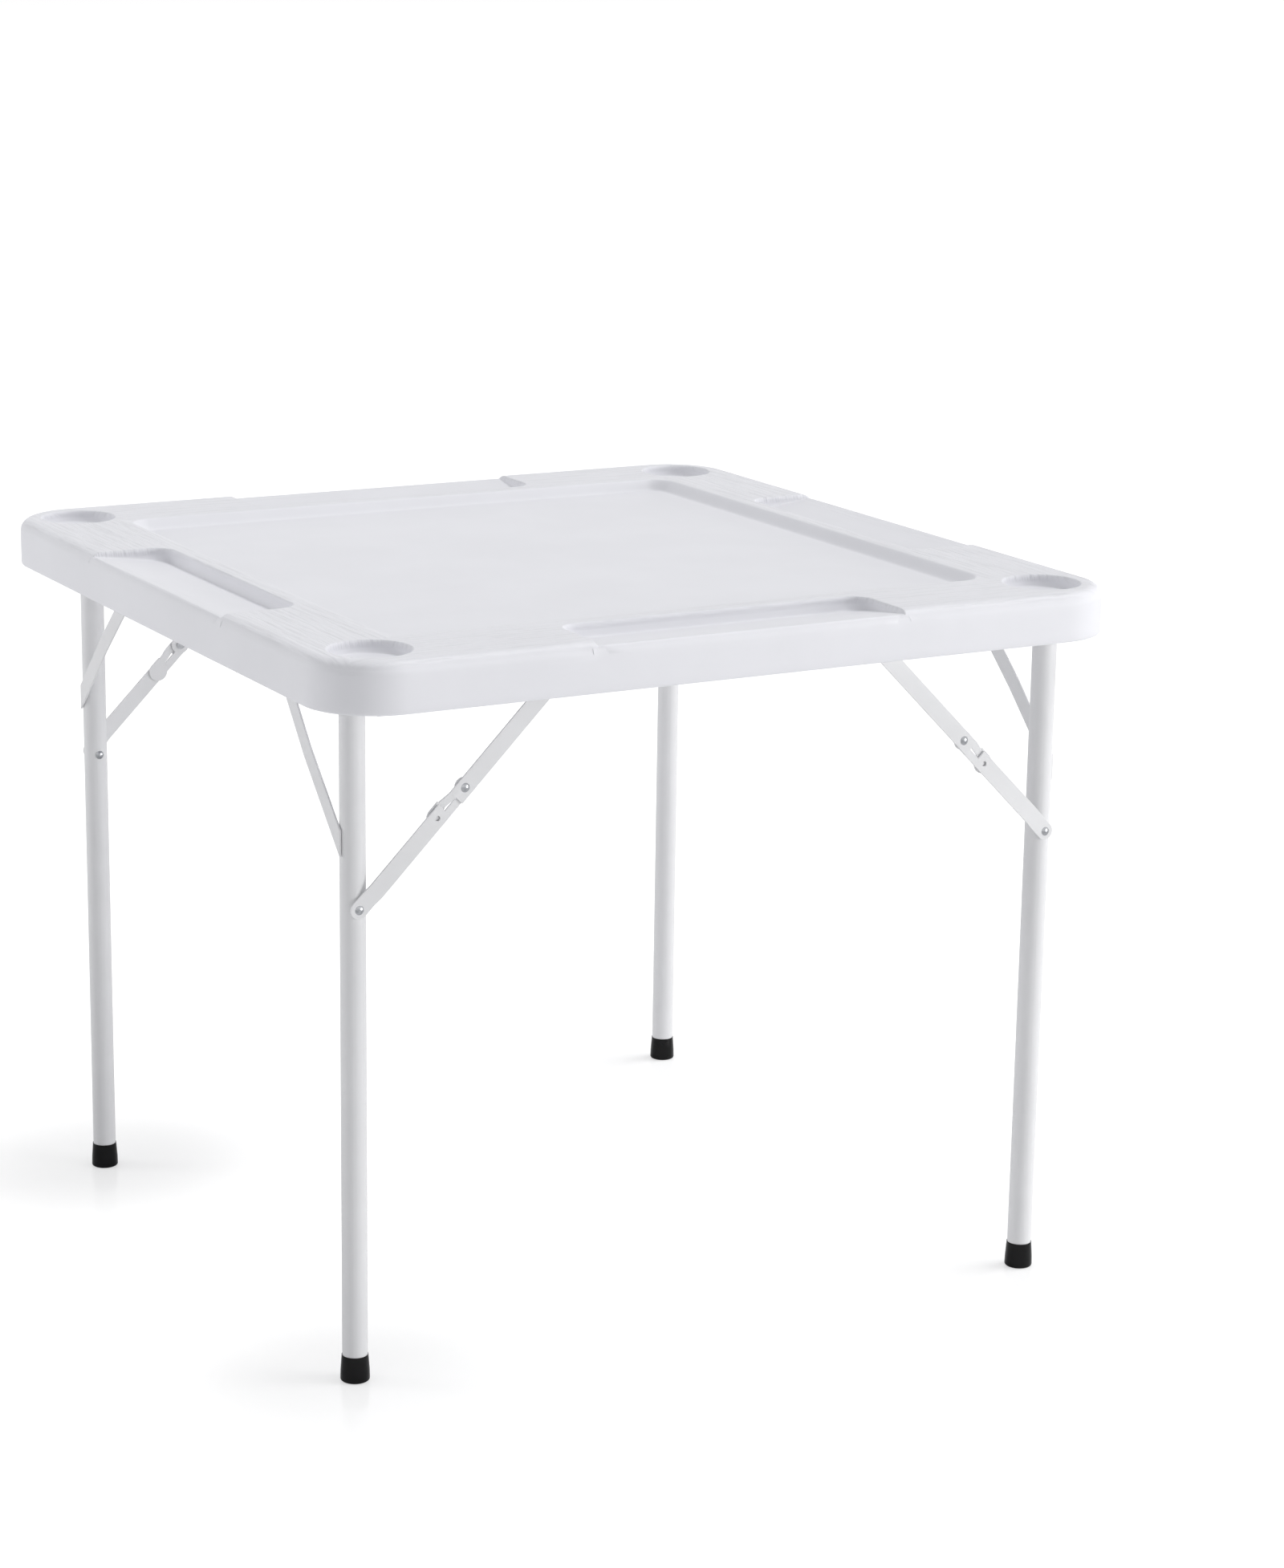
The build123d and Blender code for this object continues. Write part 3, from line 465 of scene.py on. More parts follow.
def loop(centre_x, centre_y, radius, straight, arc):
    """A closed rounded rectangle: arcs of this radius about (+-centre_x, +-centre_y), joined by straights.

    Each arc has arc points and each straight has straight points, evenly spaced. Loops with the same centres
    lie one inside the other, point facing point."""
    angle = np.linspace(0, math.pi / 2, arc, endpoint=False)
    share = np.linspace(0, 1, straight, endpoint=False)
    parts = []
    corners = ((1, 1), (-1, 1), (-1, -1), (1, -1))
    for turn, (sx, sy) in enumerate(corners):
        theta = angle + turn * math.pi / 2
        bend = np.stack([sx * centre_x + radius * np.cos(theta), sy * centre_y + radius * np.sin(theta)], 1)
        end = (turn + 1) * math.pi / 2
        nx, ny = corners[(turn + 1) % 4]
        normal = radius * np.array([math.cos(end), math.sin(end)])
        start_point = np.array([sx * centre_x, sy * centre_y]) + normal
        stop_point = np.array([nx * centre_x, ny * centre_y]) + normal
        line = start_point + share[:, None] * (stop_point - start_point)
        parts += [bend, line]
    return np.concatenate(parts)


def quads_between(rows, around):
    """Faces that join each of these closed rows of points to the next one."""
    row, place = (axis.ravel() for axis in np.meshgrid(np.arange(rows - 1), np.arange(around), indexing="ij"))
    after = (place + 1) % around
    return np.stack([
        row * around + place, row * around + after,
        (row + 1) * around + after, (row + 1) * around + place], 1)


def quarter_turns(points):
    """These plan points and their copies turned by 90, 180 and 270 degrees."""
    x, y = points[:, 0], points[:, 1]
    return np.concatenate([points, np.stack([-y, x], 1), -points, np.stack([y, -x], 1)])


def spread(cells):
    """Triangles over plan points: the points, the triangles' corners and which given point each point was."""
    plan = [Vector(point) for point in cells.tolist()]
    found = delaunay_2d_cdt(plan, [], [], 0, TINY)
    corners = np.array(found[2])
    kept = np.array([[v.x, v.y] for v in found[0]])
    origin = np.array([members[0] for members in found[3]])
    return kept, corners, origin


# Moulded top: sizes that its two skins share

SKIRT_FOOT = TOP_LOW.z
HALF_TOP = TOP_HIGH.x
FOOT_ROUNDING = 3 * MM


def outer_loop(inset):
    """The top's outline, this far inside its edge."""
    centre = HALF_TOP - bpy.context.scene.table_top.corner_radius
    return loop(centre, centre, HALF_TOP - centre - inset, straight=46, arc=20)


# Upper skin

# How steeply the cup recesses' and trays' walls fall, and how far in height each form is eased: at its floor,
# and at its lip
WALL_SLOPE = 3.4
FIELD_EASE = 3 * MM
CUP_EASE = 4.5 * MM
TRAY_EASE = 4 * MM
LIP_EASE = 1.8 * MM

# How far the rounded rectangle that a tray is cut to runs out past the table's edge, and how near to that
# edge its loops of points come
TRAY_RUNOUT = 60 * MM
TRAY_EDGE_GAP = 0.8 * MM

# Loops of points along each edge: their number or their offsets, outwards above 0 and down the wall below 0
RIM_STEPS = 9
RIM_BEYOND = (1.5 * MM, 4 * MM)
FIELD_RINGS = np.array([
    5, 3.8, 2.9, 2, 1, 0, -1, -2.2, -4.5, -6.4, -7.4, -8.4, -9.4, -10.4, -11.6, -13]) * MM
CUP_RINGS = np.array([
    5, 4, 3.2, 2.4, 1.6, 0.8, 0, -0.7, -1.4, -2.1, -2.8, -3.6, -4.4, -5.3, -6.4, -8, -12, -20, -30]) * MM
CUP_AROUND = 72
TRAY_RINGS = np.array([
    5, 4, 3.2, 2.4, 1.6, 0.8, 0, -0.7, -1.4, -2.1, -2.8, -3.6, -4.4, -5.3, -6.5, -8.5]) * MM

# The loose grid on the flats: its pitch, and how far it keeps from edges and walls
FLAT_PITCH = 14 * MM
FLAT_MARGIN = 8 * MM


def tray_plan(top):
    """Centre and half length, across the tray, of the rounded rectangle that one tray is cut to."""
    inner = HALF_TOP - top.tray_width
    outer = HALF_TOP + TRAY_RUNOUT
    return (inner + outer) / 2, (outer - inner) / 2


def inside_tray(x, y, top):
    """Distance inside the nearest of the four trays."""
    centre, half = tray_plan(top)
    end = top.tray_length / 2
    beside_x = round_rectangle(np.abs(x) - centre, y, half, end, top.tray_corner)
    beside_y = round_rectangle(x, np.abs(y) - centre, end, half, top.tray_corner)
    return np.maximum(beside_x, beside_y)


def tray_floor(x, y, top):
    """Depth of a tray's floor: deepest at its inner wall, and evenly less towards the table's edge."""
    share = (np.maximum(np.abs(x), np.abs(y)) - HALF_TOP + top.tray_width) / top.tray_width
    return top.tray_deep + (top.tray_shallow - top.tray_deep) * share


def inside_field(x, y, top):
    """Distance inside the sunken field."""
    return round_rectangle(x, y, top.field_side / 2, top.field_side / 2, top.field_corner + top.field_run)


def inside_cup(x, y, top):
    """Distance inside the nearest of the four cup recesses."""
    place = HALF_TOP - top.cup_inset
    return top.cup_diameter / 2 - np.hypot(np.abs(x) - place, np.abs(y) - place)


def top_height(x, y, top):
    """Height of the upper skin over the plan, measured from the rim's level.

    It is the lowest of four forms, eased where they cross: the rim's quarter-round edge, the field with its
    sloping wall, the round cup recesses, and the trays, whose floors rise evenly towards the table's edge.
    The edge is sqrt(r^2 - i^2) - r, where r is the rounding and i how far a point is into it. A recess is
    -min(slope * distance inside it, depth)."""
    rounding = top.rim_rounding
    inward = np.clip(rounding - round_rectangle(x, y, HALF_TOP, HALF_TOP, top.corner_radius), 0, rounding)
    height = np.sqrt(np.clip(rounding**2 - inward**2, 0, None)) - rounding
    field_slope = top.field_depth / top.field_run
    recesses = (
        (inside_field(x, y, top) * field_slope, top.field_depth, FIELD_EASE),
        (inside_cup(x, y, top) * WALL_SLOPE, top.cup_depth, CUP_EASE),
        (inside_tray(x, y, top) * WALL_SLOPE, tray_floor(x, y, top), TRAY_EASE),
    )
    for wall, depth, ease in recesses:
        height = ease_minimum(height, -ease_minimum(wall, depth, ease), LIP_EASE)
    return height


def flats(top):
    """A loose grid of plan points that keeps clear of every edge and wall."""
    line = np.arange(-HALF_TOP, HALF_TOP, FLAT_PITCH) + FLAT_PITCH / 2
    x, y = (axis.ravel() for axis in np.meshgrid(line, line))
    edge = round_rectangle(x, y, HALF_TOP, HALF_TOP, top.corner_radius)
    away = [
        edge - top.rim_rounding - FLAT_MARGIN,
        np.abs(inside_field(x, y, top)) - 2 * FLAT_MARGIN,
        np.abs(inside_cup(x, y, top)) - FLAT_MARGIN,
        np.abs(inside_tray(x, y, top)) - FLAT_MARGIN,
    ]
    return np.stack([x, y], 1)[np.min(away, 0) > 0]


def upper_skin(top):
    """Points and triangles of the upper skin.

    The plan points lie on loops that follow each form's edge at close offsets, with a loose grid on the flats
    between, and each point's height comes from top_height."""
    turns = np.linspace(0, math.pi / 2, RIM_STEPS)
    rim_insets = [top.rim_rounding * (1 - math.cos(turn)) for turn in turns]
    rim_insets += [top.rim_rounding + gap for gap in RIM_BEYOND]
    plan = [outer_loop(inset) for inset in rim_insets]

    field_radius = top.field_corner + top.field_run
    centre = top.field_side / 2 - field_radius
    plan += [loop(centre, centre, field_radius + offset, straight=40, arc=10) for offset in FIELD_RINGS]

    turn = np.linspace(0, 2 * math.pi, CUP_AROUND, endpoint=False)
    circle = np.stack([np.cos(turn), np.sin(turn)], 1)
    cup = [HALF_TOP - top.cup_inset + (top.cup_diameter / 2 + offset) * circle for offset in CUP_RINGS]
    plan.append(quarter_turns(np.concatenate(cup)))

    tray_centre, tray_half = tray_plan(top)
    across, along = tray_half - top.tray_corner, top.tray_length / 2 - top.tray_corner
    tray = [loop(across, along, top.tray_corner + offset, straight=40, arc=12) for offset in TRAY_RINGS]
    tray = np.concatenate(tray) + np.array([tray_centre, 0])
    plan.append(quarter_turns(tray[HALF_TOP - tray[:, 0] > TRAY_EDGE_GAP]))

    plan.append(flats(top))
    kept, corners, _ = spread(np.concatenate(plan))
    height = RIM_LEVEL + top_height(kept[:, 0], kept[:, 1], top)
    return np.column_stack([kept, height]), corners


# Lower skin

# The skirt's flat foot, the hollow inside it with slots for the rails' ends, and the field's thicker part
LIP_WIDTH = 18.5 * MM
LIP_INNER = HALF_TOP - LIP_WIDTH
RAIL_SLOT_HALF = 389.5 * MM
BORDER_UNDER = RIM_LEVEL - 24 * MM
FIELD_UNDER = BORDER_UNDER - 4 * MM
FIELD_UNDER_HALF = 324 * MM
FIELD_UNDER_CORNER = 12 * MM

# Square seats for the stiffener's ends
SEAT_X = 350.25 * MM
SEAT_HALF = 15 * MM
SEAT_CORNER = 1 * MM

# Notches in the skirt's foot
NOTCH_ROWS = 16
NOTCH_PITCH = 45.5 * MM
NOTCH_LENGTH = 26 * MM
NOTCH_DEPTH = 8 * MM
NOTCH_WALL = 5 * MM
NOTCH_REACH = NOTCH_ROWS * NOTCH_PITCH / 2
NOTCH_CORNER = 1.5 * MM
NOTCH_CLEAR = 2.4 * MM

# Offsets of the loops of points on either side of each wall, outwards above 0
FOOT_MARGIN = 1 * MM
CAVITY_GUARD = 2.2 * MM
CAVITY_FOOT = 1.1 * MM
CAVITY_WALL = 0.6 * MM
CAVITY_EASE = 0.5 * MM
CAVITY_INNER = -2 * MM
PAD_RINGS = (2 * MM, 0.3 * MM, -0.3 * MM)
SEAT_RINGS = (1.5 * MM, 0.3 * MM, -0.3 * MM, -1.5 * MM)
NOTCH_RINGS = (1.2 * MM, 0.3 * MM, -0.3 * MM, -1.2 * MM)

# Pockets: slots as (length, width), their depths, and how their walls taper and ease
LONG_SLOT = (27 * MM, 8 * MM)
SHORT_SLOT = (15 * MM, 5 * MM)
FIELD_POCKET = 9 * MM
BORDER_POCKET = 12 * MM
SHORT_POCKET = 5 * MM
POCKET_RIM = 0.6 * MM
POCKET_TAPER = 0.5 * MM
POCKET_FLOOR = 0.9 * MM
POCKET_EASE = 0.3 * MM

# Pocket rows: pitches, rows outwards from the field's thicker part, and rows inwards from the skirt
POCKET_ROWS = 17
POCKET_PITCH = 38.5 * MM
ZIGZAG_PITCH = 37 * MM
ZIGZAG_START = 18 * MM
SHORT_PITCH = 52 * MM
NEAR_ROW, FAR_ROW = 12 * MM, 22 * MM
OUTER_ROW, ZIGZAG_ROW, TRAY_ROW, BETWEEN_ROW = 10.5 * MM, 28.5 * MM, 31.5 * MM, 23.5 * MM


def cavity_corner():
    """Corner radius of the hollow inside the skirt."""
    return bpy.context.scene.table_top.corner_radius - LIP_WIDTH


def cavity_loop(offset):
    """The skirt's inner side in plan, moved outwards by offset: a rounded square with the rails' slots."""
    radius = cavity_corner()
    centre = LIP_INNER - radius
    points = loop(centre, centre, radius, straight=60, arc=40)
    bend = (np.abs(points) > centre).all(1)
    way = (np.abs(points[bend]) - centre) / radius
    slot = (RAIL_SLOT_HALF - centre) / radius
    reach = np.maximum(1, np.minimum(1 / way[:, 1], slot / np.maximum(way[:, 0], TINY)))
    points[bend] = np.sign(points[bend]) * (centre + radius * reach[:, None] * way)
    return points * (1 + offset / np.abs(points).max(1))[:, None]


def in_cavity(x, y):
    """True inside the skirt."""
    room = round_rectangle(x, y, LIP_INNER, LIP_INNER, cavity_corner()) > 0
    return room | ((np.abs(x) < RAIL_SLOT_HALF) & (np.abs(y) < LIP_INNER))


def under_level(x, y):
    """Level of the lower skin's flats: skirt foot with its notches, border, and the field's thicker part."""
    pad = round_rectangle(x, y, FIELD_UNDER_HALF, FIELD_UNDER_HALF, FIELD_UNDER_CORNER) > 0
    seat = (np.abs(np.abs(x) - SEAT_X) < SEAT_HALF) & (np.abs(y) < SEAT_HALF)
    notch = np.zeros(x.shape, bool)
    for a, b in ((x, y), (y, x)):
        along = np.abs((b + NOTCH_REACH) % NOTCH_PITCH - NOTCH_PITCH / 2)
        notch |= (np.abs(a) < HALF_TOP - NOTCH_WALL) & (along < NOTCH_LENGTH / 2) & (np.abs(b) < NOTCH_REACH)
    ceiling = np.where(pad | seat, FIELD_UNDER, BORDER_UNDER)
    foot = np.where(notch, SKIRT_FOOT + NOTCH_DEPTH, SKIRT_FOOT)
    return np.where(in_cavity(x, y), ceiling, foot)


def slot_loop(length, width, grow, turned):
    """A round-ended slot about the origin, grown on all sides, along X or along Y."""
    points = loop((length - width) / 2, TINY, width / 2 + grow, straight=2, arc=5)
    return points[:, ::-1] if turned else points


def pocket_places(top):
    """The underside's pockets as groups: slot length, width, depth, along Y or not, and plan places."""
    step = (np.arange(POCKET_ROWS) - (POCKET_ROWS - 1) / 2) * POCKET_PITCH
    field = np.stack([axis.ravel() for axis in np.meshgrid(step, step, indexing="ij")], 1)
    groups = [(*LONG_SLOT, FIELD_POCKET, False, field[0::2]), (*LONG_SLOT, FIELD_POCKET, True, field[1::2])]

    outer, zigzag, tray, between = (LIP_INNER - row for row in (OUTER_ROW, ZIGZAG_ROW, TRAY_ROW, BETWEEN_ROW))
    near, far = (FIELD_UNDER_HALF + row for row in (NEAR_ROW, FAR_ROW))
    first = top.tray_length / 2 + ZIGZAG_START
    lengthways = [(near, POCKET_PITCH * n) for n in (-3, -1, 1, 3)]
    lengthways += [(far, POCKET_PITCH * n) for n in (-7, -5, 5, 7)]
    lengthways += [(outer, sign * (first + ZIGZAG_PITCH * n)) for n in (1, 3) for sign in (-1, 1)]
    crossways = [(zigzag, sign * (first + ZIGZAG_PITCH * n)) for n in (0, 2) for sign in (-1, 1)]
    under_tray = [(x, SHORT_PITCH * n) for x in (outer, tray) for n in range(-3, 4)]
    under_between = [(between, SHORT_PITCH * (n + 0.5)) for n in range(-3, 3)]
    kinds = (
        (LONG_SLOT, BORDER_POCKET, True, lengthways),
        (LONG_SLOT, BORDER_POCKET, False, crossways),
        (SHORT_SLOT, SHORT_POCKET, True, under_tray),
        (SHORT_SLOT, SHORT_POCKET, False, under_between),
    )
    for (length, width), depth, turned, places in kinds:
        for quarter in range(4):
            turn = quarter * math.pi / 2
            spin = np.array([[math.cos(turn), math.sin(turn)], [-math.sin(turn), math.cos(turn)]])
            groups.append((length, width, depth, turned != bool(quarter % 2), np.array(places) @ spin))
    return groups


def lower_skin(top):
    """Points and triangles of the lower skin, inside the foot's rounding.

    Each wall is a pair of loops close together in plan, one at each level, and the flats between them take
    their level from under_level."""
    plan, level = [], []

    def lifted(points, rise, base):
        plan.append(points)
        level.append(under_level(base[:, 0], base[:, 1]) + rise)

    def flat(points):
        lifted(points, 0, points)

    def at_each(places, shape):
        return (np.array(places)[:, None, :] + shape[None]).reshape(-1, 2)

    foot = outer_loop(FOOT_ROUNDING)
    plan.append(foot)
    level.append(np.full(len(foot), SKIRT_FOOT))
    flat(outer_loop(FOOT_ROUNDING + FOOT_MARGIN))

    foot_edge, ceiling_edge = cavity_loop(CAVITY_FOOT), cavity_loop(-CAVITY_WALL)
    flat(cavity_loop(CAVITY_GUARD))
    flat(foot_edge)
    lifted(cavity_loop(CAVITY_WALL), CAVITY_EASE, foot_edge)
    lifted(cavity_loop(0), -CAVITY_EASE, ceiling_edge)
    flat(ceiling_edge)
    flat(cavity_loop(CAVITY_INNER))

    pad_centre = FIELD_UNDER_HALF - FIELD_UNDER_CORNER
    for grow in PAD_RINGS:
        flat(loop(pad_centre, pad_centre, FIELD_UNDER_CORNER + grow, straight=60, arc=6))

    seat_centre = SEAT_HALF - SEAT_CORNER
    for place in (-SEAT_X, SEAT_X):
        for grow in SEAT_RINGS:
            seat = loop(seat_centre, seat_centre, SEAT_CORNER + grow, straight=6, arc=2)
            flat(seat + np.array([place, 0]))

    notch_x = HALF_TOP - NOTCH_WALL - LIP_WIDTH / 2
    notch_places = [(notch_x, (n + 0.5) * NOTCH_PITCH - NOTCH_REACH) for n in range(NOTCH_ROWS)]
    for grow in NOTCH_RINGS:
        one = loop(LIP_WIDTH / 2 - NOTCH_CORNER, NOTCH_LENGTH / 2 - NOTCH_CORNER, NOTCH_CORNER + grow,
                   straight=8, arc=2)
        every = at_each(notch_places, one)
        flat(quarter_turns(every[every[:, 0] > LIP_INNER + NOTCH_CLEAR]))

    for length, width, depth, turned, places in pocket_places(top):
        around = at_each(places, slot_loop(length, width, POCKET_RIM, turned))
        flat(around)
        steps = ((0, POCKET_EASE), (-POCKET_TAPER, depth - POCKET_EASE), (-POCKET_FLOOR, depth))
        for grow, rise in steps:
            lifted(at_each(places, slot_loop(length, width, grow, turned)), rise, around)

    kept, corners, origin = spread(np.concatenate(plan))
    return np.column_stack([kept, np.concatenate(level)[origin]]), corners[:, ::-1]


# The whole top: points down the skirt and round its foot, and the angle in degrees that stays sharp

SKIRT_STEPS = 6
FOOT_STEPS = 6
TOP_SHARP = 42


def skirt_rows(top):
    """Inset and level of each loop down the skirt's outer side, from the rim's rounding to the foot's."""
    upper = RIM_LEVEL - top.rim_rounding
    lower = SKIRT_FOOT + FOOT_ROUNDING
    rows = [(0.0, upper + (lower - upper) * share) for share in np.linspace(0, 1, SKIRT_STEPS)]
    for angle in np.linspace(0, math.pi / 2, FOOT_STEPS)[1:]:
        rows.append((FOOT_ROUNDING * (1 - math.cos(angle)), lower - FOOT_ROUNDING * math.sin(angle)))
    return rows


def moulded_top(top):
    """The whole top as one closed skin: upper skin, skirt and lower skin, joined along their outlines.

    The skirt is the outline carried down its rows: P(t) = (outline(t), level), one row after another."""
    upper, upper_faces = upper_skin(top)
    lower, lower_faces = lower_skin(top)
    rows = []
    for inset, level in skirt_rows(top):
        plan = outer_loop(inset)
        rows.append(np.column_stack([plan, np.full(len(plan), level)]))
    side_faces = quads_between(len(rows), len(rows[0]))[:, ::-1]
    shift = len(upper)
    faces = [upper_faces, lower_faces + shift, side_faces + shift + len(lower)]
    mesh = mesh_of("moulded_top", np.concatenate([upper, lower, *rows]), faces)
    merge(mesh)
    smooth(mesh, TOP_SHARP)
    return new_piece("moulded_top", mesh, TOP_BODY, "moulded_plastic", "tabletop")


# Steel parts

EASED_NODES = (
    "rail_front", "rail_back", "centre_stiffener", "strut_bracket_front", "strut_bracket_back", "leg_clip",
    *(f"{which}_{part}_{side}" for which in FRAMES for side in SIDES
      for part in ("brace", "upper_link", "lower_link")),
)

# How close points are joined, the angles in degrees below which faces are one flat and above which an edge
# is rounded, and the rounding's steps
WELD_REACH = 0.001 * MM
FLAT_WITHIN = 0.5
EASED_ABOVE = 35
EASE_STEPS = 2


def eased_copy(node_name, width):
    """A copy of a CAD node with its edges rounded by a Bevel modifier; it stands for that node."""
    source = frame["nodes"][node_name].data
    places = np.empty(len(source.vertices) * 3)
    source.vertices.foreach_get("co", places)
    corners = np.empty(len(source.loops), np.int32)
    source.loops.foreach_get("vertex_index", corners)
    mesh = mesh_of(node_name + "_eased", places.reshape(-1, 3), [corners.reshape(-1, 3)])
    work = bmesh.new()
    work.from_mesh(mesh)
    bmesh.ops.remove_doubles(work, verts=work.verts, dist=WELD_REACH)
    bmesh.ops.dissolve_limit(
        work, angle_limit=math.radians(FLAT_WITHIN), verts=work.verts, edges=work.edges)
    work.to_mesh(mesh)
    work.free()
    smooth(mesh, EASED_ABOVE)
    piece = new_piece(node_name + "_eased", mesh, BODY_OF[node_name], SLOT_OF[node_name], node_name)
    bevel = piece.modifiers.new("eased edges", "BEVEL")
    bevel.width = width
    bevel.segments = EASE_STEPS
    bevel.limit_method = "ANGLE"
    bevel.angle_limit = math.radians(EASED_ABOVE)
    bevel.use_clamp_overlap = False
    bevel.harden_normals = True
    return piece


# Rubber feet: points round each, the angle in degrees that stays sharp, and the profile's sizes

FOOT_AROUND = 64
FOOT_SHARP = 50
SOLE_ROUNDING = 2.2 * MM
SOLE_FLAT_INSET = 6 * MM
WAIST_INSET = 0.2 * MM
WAIST_SHARE = 0.4
MOUTH_INSET = 1.4 * MM
FOOT_BORE = 12.55 * MM
FOOT_FLOOR = 4 * MM


def lathe(profile, centre, around):
    """A closed surface turned about an upright axis from a profile of points (radius, height).

    P(t) = centre + (radius * cos t, radius * sin t, height), with t going once round."""
    radius, height = np.array(profile).T
    turn = np.linspace(0, 2 * math.pi, around, endpoint=False)
    points = np.stack([
        centre[0] + radius[:, None] * np.cos(turn),
        centre[1] + radius[:, None] * np.sin(turn),
        centre[2] + height[:, None] + 0 * turn,
    ], 2).reshape(-1, 3)
    return points, quads_between(len(profile), around)


def arc_points(centre, radius, start, stop, count):
    """Points (radius, height) on an arc, from start to stop in degrees."""
    angles = np.radians(np.linspace(start, stop, count))
    return [(centre[0] + radius * math.cos(a), centre[1] + radius * math.sin(a)) for a in angles]


def rubber_foot(node_name):
    """A rubber cup turned from its profile: rounded sole, slightly tapered side and rounded mouth lip."""
    low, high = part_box(node_name)
    centre = ((low.x + high.x) / 2, (low.y + high.y) / 2, low.z)
    outer = (high.x - low.x) / 2
    height = high.z - low.z
    mouth = outer - MOUTH_INSET
    lip = (mouth - FOOT_BORE) / 2
    profile = [(0, 0), (outer - SOLE_FLAT_INSET, 0)]
    profile += arc_points((outer - SOLE_ROUNDING, SOLE_ROUNDING), SOLE_ROUNDING, -90, 0, 6)
    profile += [(outer - WAIST_INSET, height * WAIST_SHARE), (mouth, height - lip)]
    profile += arc_points((FOOT_BORE + lip, height - lip), lip, 0, 180, 9)[1:]
    profile += [(FOOT_BORE, FOOT_FLOOR), (0, FOOT_FLOOR)]
    points, faces = lathe(profile, centre, FOOT_AROUND)
    mesh = mesh_of(node_name + "_cup", points, [faces])
    merge(mesh)
    smooth(mesh, FOOT_SHARP)
    return new_piece(node_name + "_cup", mesh, BODY_OF[node_name], "foot_rubber", node_name)


# Stage

WHITE = (1, 1, 1, 1)
FLOOR_MATT = (0.86, 0.86, 0.86, 1)
SKY_COLOUR = (0.97, 0.98, 1.0, 1)

# The floor: half its side, its mirror share and blur, its brightness where it is lifted to white, about where
# the feet stand from the table's middle, and the distances from a foot between which the lift grows
FLOOR_HALF = 30.0
FLOOR_POLISH = 0.12
POLISH_BLUR = 0.12
FLOOR_WHITE = 1.25
FOOT_X = 376 * MM
FOOT_Y = 366 * MM
FLOOR_FADE = (0.05, 0.36)

# Lamps: kind, place, the setting with its strength, and a square's side or a sun's angle
LAMPS = {
    "top_lamp": ("SUN", (1.2, -0.2, 2.6), "top_sun", math.radians(28)),
    "key_lamp": ("AREA", (3.8, -4.1, 0.7), "key_power", 2.2),
    "rim_lamp": ("AREA", (-3.6, 2.4, 1.5), "rim_power", 1.6),
}
LAMP_AIM = Vector((0, 0, 0.45))

SENSOR_WIDTH = 36.0
PICTURE_HEIGHT = 1954


def stage_floor(settings):
    """A large pale floor that catches the table's soft shadows and a faint mirror image of its feet.

    The camera sees it lifted to white, except close round the feet. To every other ray it is plain matt, and
    from below it is clear."""
    corners = FLOOR_HALF * np.array([(-1, -1, 0), (1, -1, 0), (1, 1, 0), (-1, 1, 0)])
    mesh = mesh_of("floor", corners, [np.array([[0, 1, 2, 3]])])
    floor = bpy.data.objects.new("floor", mesh)
    bpy.context.scene.collection.objects.link(floor)
    f = Finish("floor_white")
    x, y, _ = f.axes()
    offset = f.node("ShaderNodeCombineXYZ", {}, {"X": abs(x) - FOOT_X, "Y": abs(y) - FOOT_Y})
    away = f.node("ShaderNodeVectorMath", {"operation": "LENGTH"}, {0: offset}, "Value")
    lift = settings.floor_glow + away.band(*FLOOR_FADE) * (1 - settings.floor_glow)
    matt = f.node("ShaderNodeBsdfDiffuse", {}, {"Color": FLOOR_MATT})
    pale = f.node("ShaderNodeBsdfDiffuse", {}, {"Color": WHITE})
    polish = f.node("ShaderNodeBsdfGlossy", {}, {"Color": WHITE, "Roughness": POLISH_BLUR})
    sheen = f.node("ShaderNodeMixShader", {}, {0: FLOOR_POLISH, 1: pale, 2: polish})
    glow = f.node("ShaderNodeEmission", {}, {"Color": WHITE, "Strength": FLOOR_WHITE})
    bright = f.node("ShaderNodeMixShader", {}, {0: lift, 1: sheen, 2: glow})
    seen = f.node("ShaderNodeLightPath", {}, {}, "Is Camera Ray")
    solid = f.node("ShaderNodeMixShader", {}, {0: seen, 1: matt, 2: bright})
    below = f.node("ShaderNodeNewGeometry", {}, {}, "Backfacing")
    clear = f.node("ShaderNodeBsdfTransparent", {}, {})
    mesh.materials.append(f.shade(f.node("ShaderNodeMixShader", {}, {0: below, 1: solid, 2: clear})))


def stage_world(settings):
    """Even pale light from all round, and pure white behind the table for the camera, gloss and glass."""
    f = Finish("studio", bpy.data.worlds)
    ray = f.node("ShaderNodeLightPath", {}, {}, "Is Camera Ray")
    white_rays = ray + ray.output("Is Glossy Ray") + ray.output("Is Transmission Ray")
    seen = ray.maths("MINIMUM", white_rays, 1.0)
    even = f.node("ShaderNodeBackground", {}, {"Color": SKY_COLOUR, "Strength": settings.sky})
    white = f.node("ShaderNodeBackground", {}, {"Color": WHITE, "Strength": 1.0})
    mix = f.node("ShaderNodeMixShader", {}, {0: seen, 1: even, 2: white})
    bpy.context.scene.world = f.shade(mix, "ShaderNodeOutputWorld")


def stage_lamp(name, kind, place, strength, size):
    """A soft lamp aimed at the middle of the table: a square of this side, or a sun of this angle."""
    data = bpy.data.lights.new(name, kind)
    data.energy = strength
    if kind == "AREA":
        data.size = size
    else:
        data.angle = size
    lamp = bpy.data.objects.new(name, data)
    bpy.context.scene.collection.objects.link(lamp)
    lamp.location = place
    lamp.rotation_euler = (LAMP_AIM - Vector(place)).to_track_quat("-Z", "Y").to_euler()
    lamp.visible_camera = False


